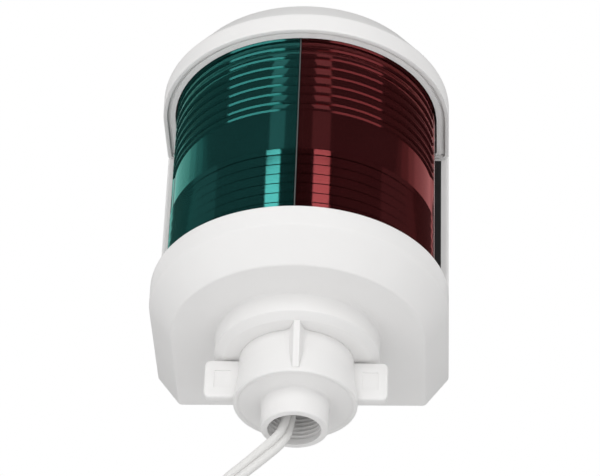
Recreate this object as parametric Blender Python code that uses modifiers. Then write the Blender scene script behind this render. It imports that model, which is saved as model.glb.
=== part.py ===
"""Bicolour navigation light on a threaded pole adaptor.

Lengths are in metres, +Z is up and the lamp shines towards -Y. The origin is the centre of the
adaptor's mouth, where the pole enters, and the Z axis is the axis that the lamp turns about.
Green is on the -X side and red on the +X side.
"""
import math

import bmesh
import bpy
from mathutils import Matrix, Vector

MM = 0.001
GAP = 0.3 * MM                     # clearance between touching pieces
OVERLAP = 1.0 * MM                 # how far joined shapes reach into each other

# Driving dimensions
HALF_WIDTH = 42.5 * MM             # the lamp's front is a half circle of this radius
BASE_BACK = 33.3 * MM              # flat rear face of the base
CAP_BACK = 17.3 * MM               # flat rear face of the cap
WALL = 2.4 * MM

# Heights
CUP_RIM = 8.0 * MM
HUB_TOP = 22.2 * MM
BOSS_FACE = 22.5 * MM
BOSS_LIP = 24.0 * MM
BASE_UNDERSIDE = 30.0 * MM
BASE_FLOOR = BASE_UNDERSIDE + WALL
BASE_RIM_LOW = 39.0 * MM
BASE_RIM_TOP = 45.5 * MM
SEAL_LEDGE = 40.7 * MM
SEAL_HEIGHT = 1.2 * MM
LENS_BOTTOM = SEAL_LEDGE + SEAL_HEIGHT + 2 * GAP
BELT_LOW = 68.5 * MM
BELT_HIGH = 83.0 * MM
LENS_TOP = 112.2 * MM
CAP_RIM_LOW = 108.6 * MM
CAP_RIM_TOP = 114.6 * MM
CAP_CEILING = LENS_TOP + SEAL_HEIGHT + 2 * GAP
CAP_TOP = 123.5 * MM
CAP_RIM_WALL = 1.25 * MM
CAP_LIP = 1.8 * MM
CAP_GROOVE_DEPTH = 1.2 * MM
RIM_BEVEL = 6.6 * MM               # how far the flat faces are inset from the rims

# Lens
LENS_RADIUS = 38.5 * MM
LENS_WALL = 2.2 * MM
BELT_INSET = 0.6 * MM
BELT_STEP = 0.3 * MM
LENS_BACK = 14.5 * MM
DIVIDER_THICKNESS = 0.5 * MM
DIVIDER_INNER = 21.5 * MM
LOWER_SEAL_WIDTH = 3.0 * MM
UPPER_SEAL_WIDTH = 2.4 * MM

# Adaptor
ADAPTOR_TURN = math.radians(1.4)   # the adaptor's front rib stands this far round to the right
HUB_RADIUS = 16.15 * MM
HUB_SWELL = 0.3 * MM               # the hub widens a little towards the cup
HUB_MIDDLE = 15.7 * MM
CUP_RADIUS = 17.3 * MM
CUP_FLARE = 2.3 * MM
CUP_LIP = 0.9 * MM
EDGE = 0.4 * MM                    # chamfer on the adaptor's rims
CUP_DEPTH = 0.8 * MM
SPIGOT_RADIUS = 9.4 * MM
BORE_RADIUS = 7.48 * MM            # minor radius of a G 3/8 female thread
BORE_DEPTH = 18.0 * MM
BORE_END = BORE_DEPTH + 2.5 * MM
HUB_HOLLOW_LOW = 11.7 * MM
NECK_RADIUS = 14.4 * MM
NECK_TOP = 38.1 * MM
CABLE_HOLE_RADIUS = 4.6 * MM
GROMMET_LIP = 1.3 * MM
GROMMET_LIP_HEIGHT = 1.5 * MM
GROMMET_REACH = 1.2 * MM
RIB_THICKNESS = 2.9 * MM
RIB_LOW = 8.8 * MM
RIB_REACH = 20.7 * MM
RIB_FOOT_REACH = 0.1 * MM          # the rib stands out this far at its foot
WING_REACH = 25.6 * MM
WING_LOW = 9.6 * MM
WING_HIGH = 21.8 * MM
WING_CORNER = 1.7 * MM
WING_RECESS_INNER = 18.4 * MM
WING_RECESS_OUTER = 22.9 * MM
WING_RECESS_LOW = 12.8 * MM
WING_RECESS_HIGH = 18.5 * MM
WING_RECESS_DEPTH = 0.4 * MM
NUT_RADIUS = 19.8 * MM             # to the corners of the hexagon
NUT_HEIGHT = 4.6 * MM

# Boss round the adaptor's neck
BOSS_RADIUS = 23.2 * MM
BOSS_BEVEL = 2.7 * MM
NECK_HOLE_RADIUS = NECK_RADIUS + 0.4 * MM
WIRE_ROOM_RADIUS = 34.5 * MM
WIRE_ROOM_BACK = BASE_BACK - 6.0 * MM

# Back plate and screen
PLATE_THICKNESS = 2.5 * MM
PLATE_FRONT = CAP_BACK + GAP
PLATE_BACK = PLATE_FRONT + PLATE_THICKNESS
PLATE_CORNER = 1.2 * MM
PLATE_TOP = CAP_RIM_LOW + 1.5 * MM    # stands a little way up behind the cap's rim
PLATE_HOLE_DEPTH = 1.7 * MM
FOOT_POCKET_HALF_WIDTH = 33.0 * MM
SCREEN_HALF_WIDTH = 40.2 * MM
SCREEN_THICKNESS = 1.2 * MM
SCREEN_BACK = PLATE_FRONT - GAP
SCREEN_FRONT = SCREEN_BACK - SCREEN_THICKNESS
SCREEN_LOW = BASE_RIM_TOP + 0.6 * MM
SCREEN_HIGH = CAP_RIM_LOW - 1.5 * MM
SCREEN_NOTCH_HALF_WIDTH = 3.6 * MM
SCREEN_NOTCH_LOW = 95.3 * MM

# Screws, and the bosses they go into
SCREW_HOLE_RADIUS = 1.65 * MM
SHAFT_RADIUS = 1.35 * MM
HEAD_RADIUS = 2.7 * MM
SMALL_HEAD_RADIUS = 2.2 * MM
HEAD_HEIGHT = 1.6 * MM
HEAD_TAPER = 0.8
SLOT_HALF_WIDTH = 0.35 * MM
SLOT_DEPTH = 0.5 * MM
CAP_SCREW_X = 25.0 * MM
CAP_SCREW_Y = 10.8 * MM
CAP_SCREW_LENGTH = 22.0 * MM
CAP_SCREW_SEAT = CAP_TOP - 1.9 * MM
CAP_PILLAR_RADIUS = 3.9 * MM
CAP_RECESS_RADIUS = 3.1 * MM
CAP_RECESS_DEPTH = 2.2 * MM
PLATE_BOSS_RADIUS = 3.2 * MM
PLATE_BOSS_LOW = 95.7 * MM
PLATE_BOSS_HOLE_LOW = 98.2 * MM
PLATE_BOSS_RIB = 1.2 * MM
PLATE_SCREW_X = 37.2 * MM
PLATE_SCREW_Y = 24.0 * MM
PLATE_SCREW_LENGTH = 10.0 * MM
PLATE_SCREW_HOLE_LOW = 34.2 * MM
HOLDER_SCREW_LENGTH = 11.1 * MM
HOLDER_SCREW_LOW = 58.2 * MM
HOLDER_SCREW_HIGH = 91.4 * MM

# Lamp holder and festoon bulb
BULB_CENTRE = 74.8 * MM
BULB_HALF_LENGTH = 21.5 * MM
BULB_RADIUS = 7.5 * MM
BULB_WALL = 0.8 * MM
BULB_NECK_RADIUS = 3.6 * MM
GLASS_HALF_LENGTH = 15.5 * MM
GLASS_NECK_LOW = 13.0 * MM
GLASS_SHOULDER = 11.5 * MM
GLASS_SHOULDER_RADIUS = 6.3 * MM
GLASS_STRAIGHT = 8.5 * MM
BULB_CAP_RADIUS = 4.6 * MM
BULB_CAP_LENGTH = 8.1 * MM
BULB_CAP_RIM = 2.8 * MM
BULB_NOSE_RADIUS = 1.2 * MM
BULB_NOSE_LENGTH = 3.4 * MM
BULB_SHOULDER_LENGTH = 4.2 * MM
FILAMENT_RADIUS = 0.3 * MM
FILAMENT_HALF_LENGTH = 7.0 * MM
FILAMENT_SAG = 1.2 * MM
FILAMENT_POST = 2.0 * MM
FILAMENT_END_GAP = 0.5 * MM
HOLDER_HALF_WIDTH = 9.0 * MM
HOLDER_FRONT = 9.3 * MM
HOLDER_BACK = SCREEN_FRONT - GAP
HOLDER_LOW = 48.7 * MM
HOLDER_HIGH = 100.9 * MM
CONTACT_THICKNESS = 0.8 * MM
CONTACT_BACK = HOLDER_FRONT - GAP
CONTACT_FRONT = CONTACT_BACK - CONTACT_THICKNESS
CONTACT_ARM_REACH = 4.5 * MM
CONTACT_ARM_HALF_WIDTH = 3.5 * MM
CONTACT_FOOT_HALF_WIDTH = 4.5 * MM
CONTACT_FOOT_LENGTH = 8.0 * MM
CONTACT_TAB_REACH = 9.5 * MM
CONTACT_TAB_WIDTH = 4.0 * MM
CONTACT_HOLE_RADIUS = 1.5 * MM

# Twin cable
CABLE_WIDTH = 4.8 * MM
CORE_DIAMETER = 2.4 * MM
LEAD_DIAMETER = 1.8 * MM
COIL_RADIUS = 29.0 * MM
COIL_CENTRE = Vector((-25.0, 0.0, -92.0)) * MM
COIL_STEP_OUT = 1.25 * MM           # two flat turns are laid on each other
COIL_STEP_ASIDE = 2.5 * MM         # and two beside each other
COIL_SLACK = 0.2 * MM
COIL_HALF_DEPTH = COIL_STEP_OUT + CORE_DIAMETER / 2 + COIL_SLACK
COIL_HALF_WIDTH = COIL_STEP_ASIDE + CABLE_WIDTH / 2 + COIL_SLACK
COIL_EDGE = 1.2 * MM
TIE_HALF_LENGTH = 1.8 * MM
TIE_THICKNESS = 1.0 * MM
TAIL_START = 17.0 * MM             # below the coil's centre
TAIL_LENGTH = 12.0 * MM
TIP_LENGTH = 8.0 * MM
TIP_RADIUS = 0.55 * MM
CABLE_STEP = 5.0 * MM
LEAD_STEP = 3.0 * MM
CABLE_ROUTE = [
    Vector((0.0, 0.0, 24.2)) * MM,
    Vector((0.0, 0.0, 17.7)) * MM,
    Vector((-0.5, 0.0, 10.5)) * MM,
    Vector((-1.5, 0.0, 4.9)) * MM,
    Vector((-2.5, 0.0, 0.0)) * MM,
    Vector((-4.3, 0.0, -3.5)) * MM,
    Vector((-10.3, 0.0, -9.8)) * MM,
    Vector((-18.0, 0.0, -17.6)) * MM,
    Vector((-22.4, 0.0, -24.8)) * MM,
    Vector((-25.0, 0.0, -33.0)) * MM,
    Vector((-26.9, -1.2, -42.0)) * MM,
    Vector((-27.5, -5.6, -50.5)) * MM,
    Vector((-27.5, -11.4, -57.8)) * MM,
]
LEAD_ROUTE = [                     # on the +X side, up to the height of the lower tab
    Vector((1.35, 0.0, 24.5)) * MM,
    Vector((1.5, 0.5, 29.7)) * MM,
    Vector((5.0, 3.5, 36.7)) * MM,
    Vector((11.0, 7.5, 42.7)) * MM,
    Vector((13.4, 8.4, 50.7)) * MM,
]
LEAD_BEND = [                      # measured from the tab's height
    Vector((13.2, 8.6, -2.5)) * MM,
    Vector((11.9, 8.6, -0.2)) * MM,
    Vector((9.8, 8.6, 0.0)) * MM,
]
LEAD_TAB_HEIGHT = 11.8 * MM        # of each tab from the bulb's centre

ARC_STEPS = 48
TURN_STEPS = 48
SCREW_STEPS = 20
CORNER_STEPS = 4


# --- scene helpers -------------------------------------------------------------------------

def clear_scene():
    for item in list(bpy.data.objects):
        bpy.data.objects.remove(item, do_unlink=True)


def new_collection(name):
    collection = bpy.data.collections.new(name)
    bpy.context.scene.collection.children.link(collection)
    return collection


def make_material(name, color, roughness, metallic=0.0, alpha=1.0):
    material = bpy.data.materials.new(name)
    material.use_nodes = True
    shader = material.node_tree.nodes["Principled BSDF"]
    shader.inputs["Base Color"].default_value = (*color, 1.0)
    shader.inputs["Roughness"].default_value = roughness
    shader.inputs["Metallic"].default_value = metallic
    shader.inputs["Alpha"].default_value = alpha
    return material


def add_piece(name, mesh, material):
    piece = bpy.data.objects.new(name, mesh)
    PARTS.objects.link(piece)
    mesh.materials.append(material)
    return piece


def hide_cutter(cutter):
    PARTS.objects.unlink(cutter)
    CUTTERS.objects.link(cutter)
    cutter.display_type = "WIRE"
    cutter.hide_render = True


def boolean(piece, operation, *tools):
    """Cut tools from the piece or join them to it, and hide them with the cutters."""
    for tool in tools:
        step = piece.modifiers.new(tool.name, "BOOLEAN")
        step.operation = operation
        step.solver = "EXACT"
        step.object = tool
        hide_cutter(tool)
    return piece


def cut(piece, *tools):
    return boolean(piece, "DIFFERENCE", *tools)


def join(piece, *tools):
    return boolean(piece, "UNION", *tools)


def smooth(mesh, angle=math.radians(35)):
    mesh.shade_smooth()
    mesh.set_sharp_from_angle(angle=angle)


# --- shape makers --------------------------------------------------------------------------

def box(name, low, high, material):
    low = Vector(low)
    high = Vector(high)
    shape = bmesh.new()
    bmesh.ops.create_cube(shape, size=1.0)
    bmesh.ops.scale(shape, vec=high - low, verts=shape.verts)
    bmesh.ops.translate(shape, vec=(low + high) / 2, verts=shape.verts)
    mesh = bpy.data.meshes.new(name)
    shape.to_mesh(mesh)
    shape.free()
    return add_piece(name, mesh, material)


def rod(name, start, end, radius, material, end_radius=None, steps=SCREW_STEPS):
    """A round bar or cone from start to end."""
    start = Vector(start)
    end = Vector(end)
    shape = bmesh.new()
    bmesh.ops.create_cone(
        shape, cap_ends=True, segments=steps, radius1=radius,
        radius2=radius if end_radius is None else end_radius, depth=(end - start).length)
    mesh = bpy.data.meshes.new(name)
    turn = Vector((0, 0, 1)).rotation_difference(end - start).to_matrix().to_4x4()
    bmesh.ops.transform(shape, matrix=Matrix.Translation((start + end) / 2) @ turn, verts=shape.verts)
    shape.to_mesh(mesh)
    shape.free()
    smooth(mesh)
    return add_piece(name, mesh, material)


def turned(name, profile, material, steps=TURN_STEPS):
    """A closed profile of (radius, height) points, outer side top to bottom, screwed round Z."""
    mesh = bpy.data.meshes.new(name)
    points = [(radius, 0.0, height) for radius, height in profile]
    count = len(points)
    closed = profile[0][0] > 0 and profile[-1][0] > 0
    edges = [(i, i + 1) for i in range(count - 1)]
    if closed:
        edges.append((count - 1, 0))
    mesh.from_pydata(points, edges, [])
    piece = add_piece(name, mesh, material)
    screw = piece.modifiers.new("Screw", "SCREW")
    screw.steps = steps
    screw.render_steps = steps
    screw.use_merge_vertices = True
    screw.merge_threshold = 0.00001
    screw.use_smooth_shade = False
    return piece


def arc(radius, start_degrees, end_degrees, steps):
    """Points on a circle about the Z axis; -90 degrees is the front."""
    points = []
    for step in range(steps + 1):
        angle = math.radians(start_degrees + (end_degrees - start_degrees) * step / steps)
        points.append((radius * math.cos(angle), radius * math.sin(angle)))
    return points


def d_outline(radius, back):
    """The lamp's plan: a half circle in front, straight sides, a flat back."""
    return [(-radius, back)] + arc(radius, 180, 360, ARC_STEPS) + [(radius, back)]


def u_outline(outer, inner, back):
    """A band that follows the lamp's plan and is open at the back."""
    outside = [(-outer, back)] + arc(outer, 180, 360, ARC_STEPS) + [(outer, back)]
    inside = [(inner, back)] + arc(inner, 360, 180, ARC_STEPS) + [(-inner, back)]
    return outside + inside


def half_lens_outline(outer, inner, back, seam):
    """One colour's half of the lens band, from the seam at the front to the back end."""
    outer_start = -math.degrees(math.acos(seam / outer))
    inner_start = -math.degrees(math.acos(seam / inner))
    outside = arc(outer, outer_start, 0, ARC_STEPS // 2) + [(outer, back)]
    inside = [(inner, back)] + arc(inner, 0, inner_start, ARC_STEPS // 2)
    return outside + inside


def loft(name, levels, material, mirrored=False):
    """A solid through outlines of equal point count, given as (height, outline) from below."""
    shape = bmesh.new()
    rings = []
    side = -1.0 if mirrored else 1.0
    for height, outline in levels:
        rings.append([shape.verts.new((side * x, y, height)) for x, y in outline])
    count = len(rings[0])
    for lower, upper in zip(rings, rings[1:]):
        for i in range(count):
            j = (i + 1) % count
            shape.faces.new((lower[i], lower[j], upper[j], upper[i]))
    shape.faces.new(list(reversed(rings[0])))
    shape.faces.new(rings[-1])
    bmesh.ops.recalc_face_normals(shape, faces=shape.faces)
    mesh = bpy.data.meshes.new(name)
    shape.to_mesh(mesh)
    shape.free()
    smooth(mesh)
    return add_piece(name, mesh, material)


def slab(name, outline, low, high, material):
    return loft(name, [(low, outline), (high, outline)], material)


def wire(name, points, radius, material):
    """A round wire through the points."""
    curve = bpy.data.curves.new(name, "CURVE")
    curve.dimensions = "3D"
    curve.bevel_depth = radius
    curve.bevel_resolution = 2
    curve.use_fill_caps = True
    spline = curve.splines.new("POLY")
    spline.points.add(len(points) - 1)
    for point, place in zip(spline.points, points):
        point.co = (*place, 1.0)
    piece = bpy.data.objects.new(name, curve)
    PARTS.objects.link(piece)
    curve.materials.append(material)
    return piece


def smooth_route(points, spacing):
    """Points about spacing apart on a Catmull-Rom curve through the route's own points."""
    padded = [2 * points[0] - points[1]] + list(points) + [2 * points[-1] - points[-2]]
    route = []
    for before, start, end, after in zip(padded, padded[1:], padded[2:], padded[3:]):
        steps = max(2, round((end - start).length / spacing))
        for step in range(steps):
            t = step / steps
            route.append(0.5 * (
                2 * start
                + (end - before) * t
                + (2 * before - 5 * start + 4 * end - after) * t ** 2
                + (3 * start - before - 3 * end + after) * t ** 3))
    route.append(points[-1].copy())
    return route


def screw_piece(name, head_centre, direction, shaft_length, material, head_radius=HEAD_RADIUS):
    """A pan-head screw with a cross recess; its shaft runs from head_centre along direction."""
    head_centre = Vector(head_centre)
    direction = Vector(direction).normalized()
    head_end = head_centre - direction * HEAD_HEIGHT
    head = rod(name, head_end, head_centre, head_radius * HEAD_TAPER, material, end_radius=head_radius)
    shaft = rod(name + "_shaft", (head_end + head_centre) / 2, head_centre + direction * shaft_length,
                SHAFT_RADIUS, material)
    slots = []
    for axis in range(3):
        if abs(direction[axis]) < 0.5:
            half = Vector([SLOT_HALF_WIDTH] * 3)
            half[axis] = head_radius * 0.7
            half += Vector([abs(part) for part in direction]) * (SLOT_DEPTH - SLOT_HALF_WIDTH)
            slots.append(box(f"{name}_slot{axis}", head_end - half, head_end + half, material))
    join(head, shaft)
    cut(head, *slots)
    return head


# --- the adaptor and its cable -------------------------------------------------------------

def adaptor_rib(material):
    """The upright rib on the front of the hub, deeper at its top."""
    half = RIB_THICKNESS / 2
    inside = OVERLAP - HUB_RADIUS
    foot = -CUP_RADIUS - RIB_FOOT_REACH
    return loft("adaptor_rib", [
        (RIB_LOW, [(-half, foot), (half, foot), (half, inside), (-half, inside)]),
        (HUB_TOP, [(-half, -RIB_REACH), (half, -RIB_REACH), (half, inside), (-half, inside)]),
    ], material)


def adaptor_wing(side, material):
    """A flat grip on the side of the hub, with a shallow recess in its front face."""
    inside = HUB_RADIUS - OVERLAP
    half = RIB_THICKNESS / 2
    outline = [(side * inside, WING_HIGH), (side * inside, WING_LOW)]
    for height, start in ((WING_LOW + WING_CORNER, -90), (WING_HIGH - WING_CORNER, 0)):
        outline += [(side * (WING_REACH - WING_CORNER + x), height + y)
                    for x, y in arc(WING_CORNER, start, start + 90, CORNER_STEPS)]
    wing = slab(f"adaptor_wing{side}", outline, -half, half, material)
    wing.data.transform(Matrix.Rotation(math.pi / 2, 4, "X"))
    edges = sorted((side * WING_RECESS_INNER, side * WING_RECESS_OUTER))
    recess = box(f"adaptor_wing_recess{side}", (edges[0], -half - WALL, WING_RECESS_LOW),
                 (edges[1], WING_RECESS_DEPTH - half, WING_RECESS_HIGH), material)
    return wing, recess


def mounting_adaptor(material):
    """The turned hub, spigot and neck, with a rib in front and a wing on each side."""
    hub = turned("mounting_adaptor", [
        (NECK_RADIUS, NECK_TOP),
        (NECK_RADIUS, HUB_TOP),
        (HUB_RADIUS, HUB_TOP),
        (HUB_RADIUS + HUB_SWELL, HUB_MIDDLE),
        (CUP_RADIUS - HUB_SWELL, CUP_RIM + CUP_FLARE),
        (CUP_RADIUS, CUP_RIM + 2 * EDGE),
        (CUP_RADIUS - EDGE, CUP_RIM),
        (CUP_RADIUS - CUP_LIP, CUP_RIM),
        (CUP_RADIUS - CUP_LIP - EDGE, CUP_RIM + CUP_DEPTH),
        (SPIGOT_RADIUS, CUP_RIM + CUP_DEPTH),
        (SPIGOT_RADIUS, EDGE),
        (SPIGOT_RADIUS - EDGE, 0.0),
        (BORE_RADIUS + EDGE, 0.0),
        (BORE_RADIUS, EDGE),
        (BORE_RADIUS, BORE_DEPTH),
        (CABLE_HOLE_RADIUS, BORE_DEPTH),
        (CABLE_HOLE_RADIUS, BORE_END),
        (SPIGOT_RADIUS, BORE_END),
        (SPIGOT_RADIUS, HUB_HOLLOW_LOW),
        (HUB_RADIUS - WALL, HUB_HOLLOW_LOW),
        (HUB_RADIUS - WALL, HUB_TOP - WALL),
        (NECK_RADIUS - WALL, HUB_TOP),
        (NECK_RADIUS - WALL, NECK_TOP),
    ], material)
    wings, recesses = zip(*[adaptor_wing(side, material) for side in (-1, 1)])
    grips = [adaptor_rib(material), *wings]
    for grip in (*grips, *recesses):
        grip.data.transform(Matrix.Rotation(ADAPTOR_TURN, 4, "Z"))
    join(hub, *grips)
    return cut(hub, *recesses)


def lock_nut(material):
    """The six-sided nut on the adaptor's neck, inside the base."""
    low = BASE_FLOOR + GAP
    high = low + NUT_HEIGHT
    nut = slab("lock_nut", arc(NUT_RADIUS, 0, 300, 5), low, high, material)
    hole = rod("lock_nut_hole", (0, 0, low - WALL), (0, 0, high + WALL), NECK_RADIUS + GAP / 2, material,
               steps=TURN_STEPS)
    return cut(nut, hole)


def cable_grommet(material):
    """A rubber bush in the adaptor's cable hole, with a lip above the web."""
    outside = CABLE_HOLE_RADIUS - GAP
    inside = CABLE_WIDTH / 2 + GAP
    high = BORE_END + GROMMET_LIP_HEIGHT
    return turned("cable_grommet", [
        (outside + GROMMET_LIP, high),
        (outside + GROMMET_LIP, BORE_END + GAP),
        (outside, BORE_END + GAP),
        (outside, BORE_DEPTH - GROMMET_REACH),
        (inside, BORE_DEPTH - GROMMET_REACH),
        (inside, high),
    ], material, steps=24)


def power_cable(material):
    return wire("power_cable", smooth_route(CABLE_ROUTE, CABLE_STEP), CABLE_WIDTH / 2, material)


def cable_coil(material):
    """The outer shape of the coiled cable, a ring that lies in a plane across X."""
    inner = COIL_RADIUS - COIL_HALF_DEPTH
    outer = COIL_RADIUS + COIL_HALF_DEPTH
    ring = turned("cable_coil", [
        (outer - COIL_EDGE, COIL_HALF_WIDTH),
        (outer, COIL_HALF_WIDTH - COIL_EDGE),
        (outer, COIL_EDGE - COIL_HALF_WIDTH),
        (outer - COIL_EDGE, -COIL_HALF_WIDTH),
        (inner + COIL_EDGE, -COIL_HALF_WIDTH),
        (inner, COIL_EDGE - COIL_HALF_WIDTH),
        (inner, COIL_HALF_WIDTH - COIL_EDGE),
        (inner + COIL_EDGE, COIL_HALF_WIDTH),
    ], material)
    ring.rotation_euler = (0.0, math.pi / 2, 0.0)
    ring.location = COIL_CENTRE
    return ring


def coil_tie(material):
    """A tie closed round the coil at its top."""
    top = COIL_CENTRE + Vector((0.0, 0.0, COIL_RADIUS))
    inside = Vector((COIL_HALF_WIDTH + GAP, 2 * TIE_HALF_LENGTH, COIL_HALF_DEPTH + GAP))
    outside = Vector((inside.x + TIE_THICKNESS, TIE_HALF_LENGTH, inside.z + TIE_THICKNESS))
    tie = box("coil_tie", top - outside, top + outside, material)
    hole = box("coil_tie_hole", top - inside, top + inside, material)
    return cut(tie, hole)


def cable_tail(material):
    """The last of the cable, hanging from the coil's front side."""
    start = COIL_CENTRE + Vector((COIL_STEP_ASIDE, -COIL_RADIUS - COIL_STEP_OUT, -TAIL_START))
    end = start - Vector((0.0, 0.0, TAIL_LENGTH))
    tail = wire("cable_tail", [start, (start + end) / 2, end], CABLE_WIDTH / 2, material)
    return tail, end


def wire_tips(end, material):
    """The two stripped and tinned conductors at the cable's end."""
    for name, side in (("wire_tip_positive", 1), ("wire_tip_negative", -1)):
        top = end + Vector((side * CORE_DIAMETER / 2, 0.0, -GAP))
        rod(name, top, top - Vector((0.0, 0.0, TIP_LENGTH)), TIP_RADIUS, material, steps=12)


# --- the lamp ------------------------------------------------------------------------------

def base(material):
    """The tray under the lamp, with a round boss below it for the adaptor's neck."""
    tray = loft("base", [
        (BASE_UNDERSIDE, d_outline(HALF_WIDTH - RIM_BEVEL, BASE_BACK)),
        (BASE_RIM_LOW, d_outline(HALF_WIDTH, BASE_BACK)),
        (BASE_RIM_TOP, d_outline(HALF_WIDTH, BASE_BACK)),
    ], material)
    boss = turned("base_boss", [
        (0.0, BASE_UNDERSIDE + WALL / 2),
        (BOSS_RADIUS, BASE_UNDERSIDE + WALL / 2),
        (BOSS_RADIUS, BOSS_LIP),
        (BOSS_RADIUS - BOSS_BEVEL, BOSS_FACE),
        (0.0, BOSS_FACE),
    ], material)
    lens_pocket = slab("base_lens_pocket", d_outline(HALF_WIDTH - WALL, BASE_BACK - WALL),
                       SEAL_LEDGE, BASE_RIM_TOP + WALL, material)
    wire_room = slab("base_wire_room", d_outline(WIRE_ROOM_RADIUS, WIRE_ROOM_BACK),
                     BASE_FLOOR, SEAL_LEDGE + WALL / 2, material)
    neck_hole = rod("base_neck_hole", (0, 0, BOSS_FACE - WALL), (0, 0, BASE_FLOOR + WALL),
                    NECK_HOLE_RADIUS, material, steps=TURN_STEPS)
    screw_holes = [
        rod(f"base_screw_hole{side}", (side * PLATE_SCREW_X, PLATE_SCREW_Y, PLATE_SCREW_HOLE_LOW),
            (side * PLATE_SCREW_X, PLATE_SCREW_Y, SEAL_LEDGE + WALL), SCREW_HOLE_RADIUS, material)
        for side in (-1, 1)]
    join(tray, boss)
    return cut(tray, lens_pocket, wire_room, neck_hole, *screw_holes)


def lower_seal(material):
    return slab("lower_lens_seal", u_outline(LENS_RADIUS, LENS_RADIUS - LOWER_SEAL_WIDTH, LENS_BACK),
                SEAL_LEDGE + GAP, SEAL_LEDGE + GAP + SEAL_HEIGHT, material)


def back_plate(material):
    """The white rear wall, with cap screw bosses and a foot that closes the base."""
    high = CAP_RIM_LOW - GAP
    outline = [
        (PLATE_CORNER - HALF_WIDTH, PLATE_FRONT), (HALF_WIDTH - PLATE_CORNER, PLATE_FRONT),
        (HALF_WIDTH, PLATE_FRONT + PLATE_CORNER), (HALF_WIDTH, PLATE_BACK),
        (-HALF_WIDTH, PLATE_BACK), (-HALF_WIDTH, PLATE_FRONT + PLATE_CORNER)]
    plate = slab("back_plate", outline, BASE_RIM_TOP + GAP, PLATE_TOP, material)
    foot_side = HALF_WIDTH - WALL - GAP
    foot_back = BASE_BACK - WALL - GAP
    foot = box("plate_foot", (-foot_side, PLATE_FRONT, SEAL_LEDGE + GAP),
               (foot_side, foot_back, BASE_RIM_TOP), material)
    tongue = box("plate_tongue", (-foot_side, PLATE_FRONT, BASE_RIM_TOP - WALL),
                 (foot_side, PLATE_BACK, BASE_RIM_TOP + 2 * WALL), material)
    foot_pocket = box("plate_foot_pocket", (-FOOT_POCKET_HALF_WIDTH, PLATE_FRONT + WALL, SEAL_LEDGE - WALL),
                      (FOOT_POCKET_HALF_WIDTH, foot_back - WALL, BASE_RIM_TOP - WALL), material)
    additions = [foot, tongue]
    holes = [foot_pocket]
    for side in (-1, 1):
        boss_x = side * CAP_SCREW_X
        additions.append(rod(f"plate_boss{side}", (boss_x, CAP_SCREW_Y, PLATE_BOSS_LOW),
                             (boss_x, CAP_SCREW_Y, high), PLATE_BOSS_RADIUS, material))
        additions.append(box(f"plate_boss_rib{side}",
                             (boss_x - PLATE_BOSS_RIB, CAP_SCREW_Y + 2 * OVERLAP, PLATE_BOSS_LOW),
                             (boss_x + PLATE_BOSS_RIB, PLATE_FRONT + OVERLAP, high), material))
        holes.append(rod(f"plate_boss_hole{side}", (boss_x, CAP_SCREW_Y, PLATE_BOSS_HOLE_LOW),
                         (boss_x, CAP_SCREW_Y, high + WALL), SCREW_HOLE_RADIUS, material))
        foot_x = side * PLATE_SCREW_X
        holes.append(rod(f"plate_foot_hole{side}", (foot_x, PLATE_SCREW_Y, SEAL_LEDGE - WALL),
                         (foot_x, PLATE_SCREW_Y, BASE_RIM_TOP + WALL), SCREW_HOLE_RADIUS, material))
    holes += holder_screw_holes("plate", SCREEN_BACK, PLATE_FRONT + PLATE_HOLE_DEPTH, material)
    join(plate, *additions)
    return cut(plate, *holes)


def holder_screw_holes(owner, front, back, material):
    """The two holes for the lamp holder's screws through one of the pieces behind the bulb."""
    return [
        rod(f"{owner}_holder_hole_{name}", (0, front, height), (0, back, height), SCREW_HOLE_RADIUS,
            material)
        for name, height in (("low", HOLDER_SCREW_LOW), ("high", HOLDER_SCREW_HIGH))]


def inner_screen(material):
    """The black screen behind the bulb, notched round the cap screw bosses."""
    screen = box("inner_screen", (-SCREEN_HALF_WIDTH, SCREEN_FRONT, SCREEN_LOW),
                 (SCREEN_HALF_WIDTH, SCREEN_BACK, SCREEN_HIGH), material)
    notches = []
    for side in (-1, 1):
        inner = side * CAP_SCREW_X - SCREEN_NOTCH_HALF_WIDTH
        outer = side * CAP_SCREW_X + SCREEN_NOTCH_HALF_WIDTH
        notches.append(box(f"screen_notch{side}", (inner, SCREEN_FRONT - WALL, SCREEN_NOTCH_LOW),
                           (outer, SCREEN_BACK + WALL, SCREEN_HIGH + WALL), material))
    return cut(screen, *notches,
               *holder_screw_holes("screen", SCREEN_FRONT - WALL, SCREEN_BACK + WALL, material))


# --- bulb and holder -----------------------------------------------------------------------

def lamp_holder(material):
    plate = box("lamp_holder", (-HOLDER_HALF_WIDTH, HOLDER_FRONT, HOLDER_LOW),
                (HOLDER_HALF_WIDTH, HOLDER_BACK, HOLDER_HIGH), material)
    return cut(plate, *holder_screw_holes("lamp", HOLDER_FRONT - WALL, HOLDER_BACK + WALL, material))


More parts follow.
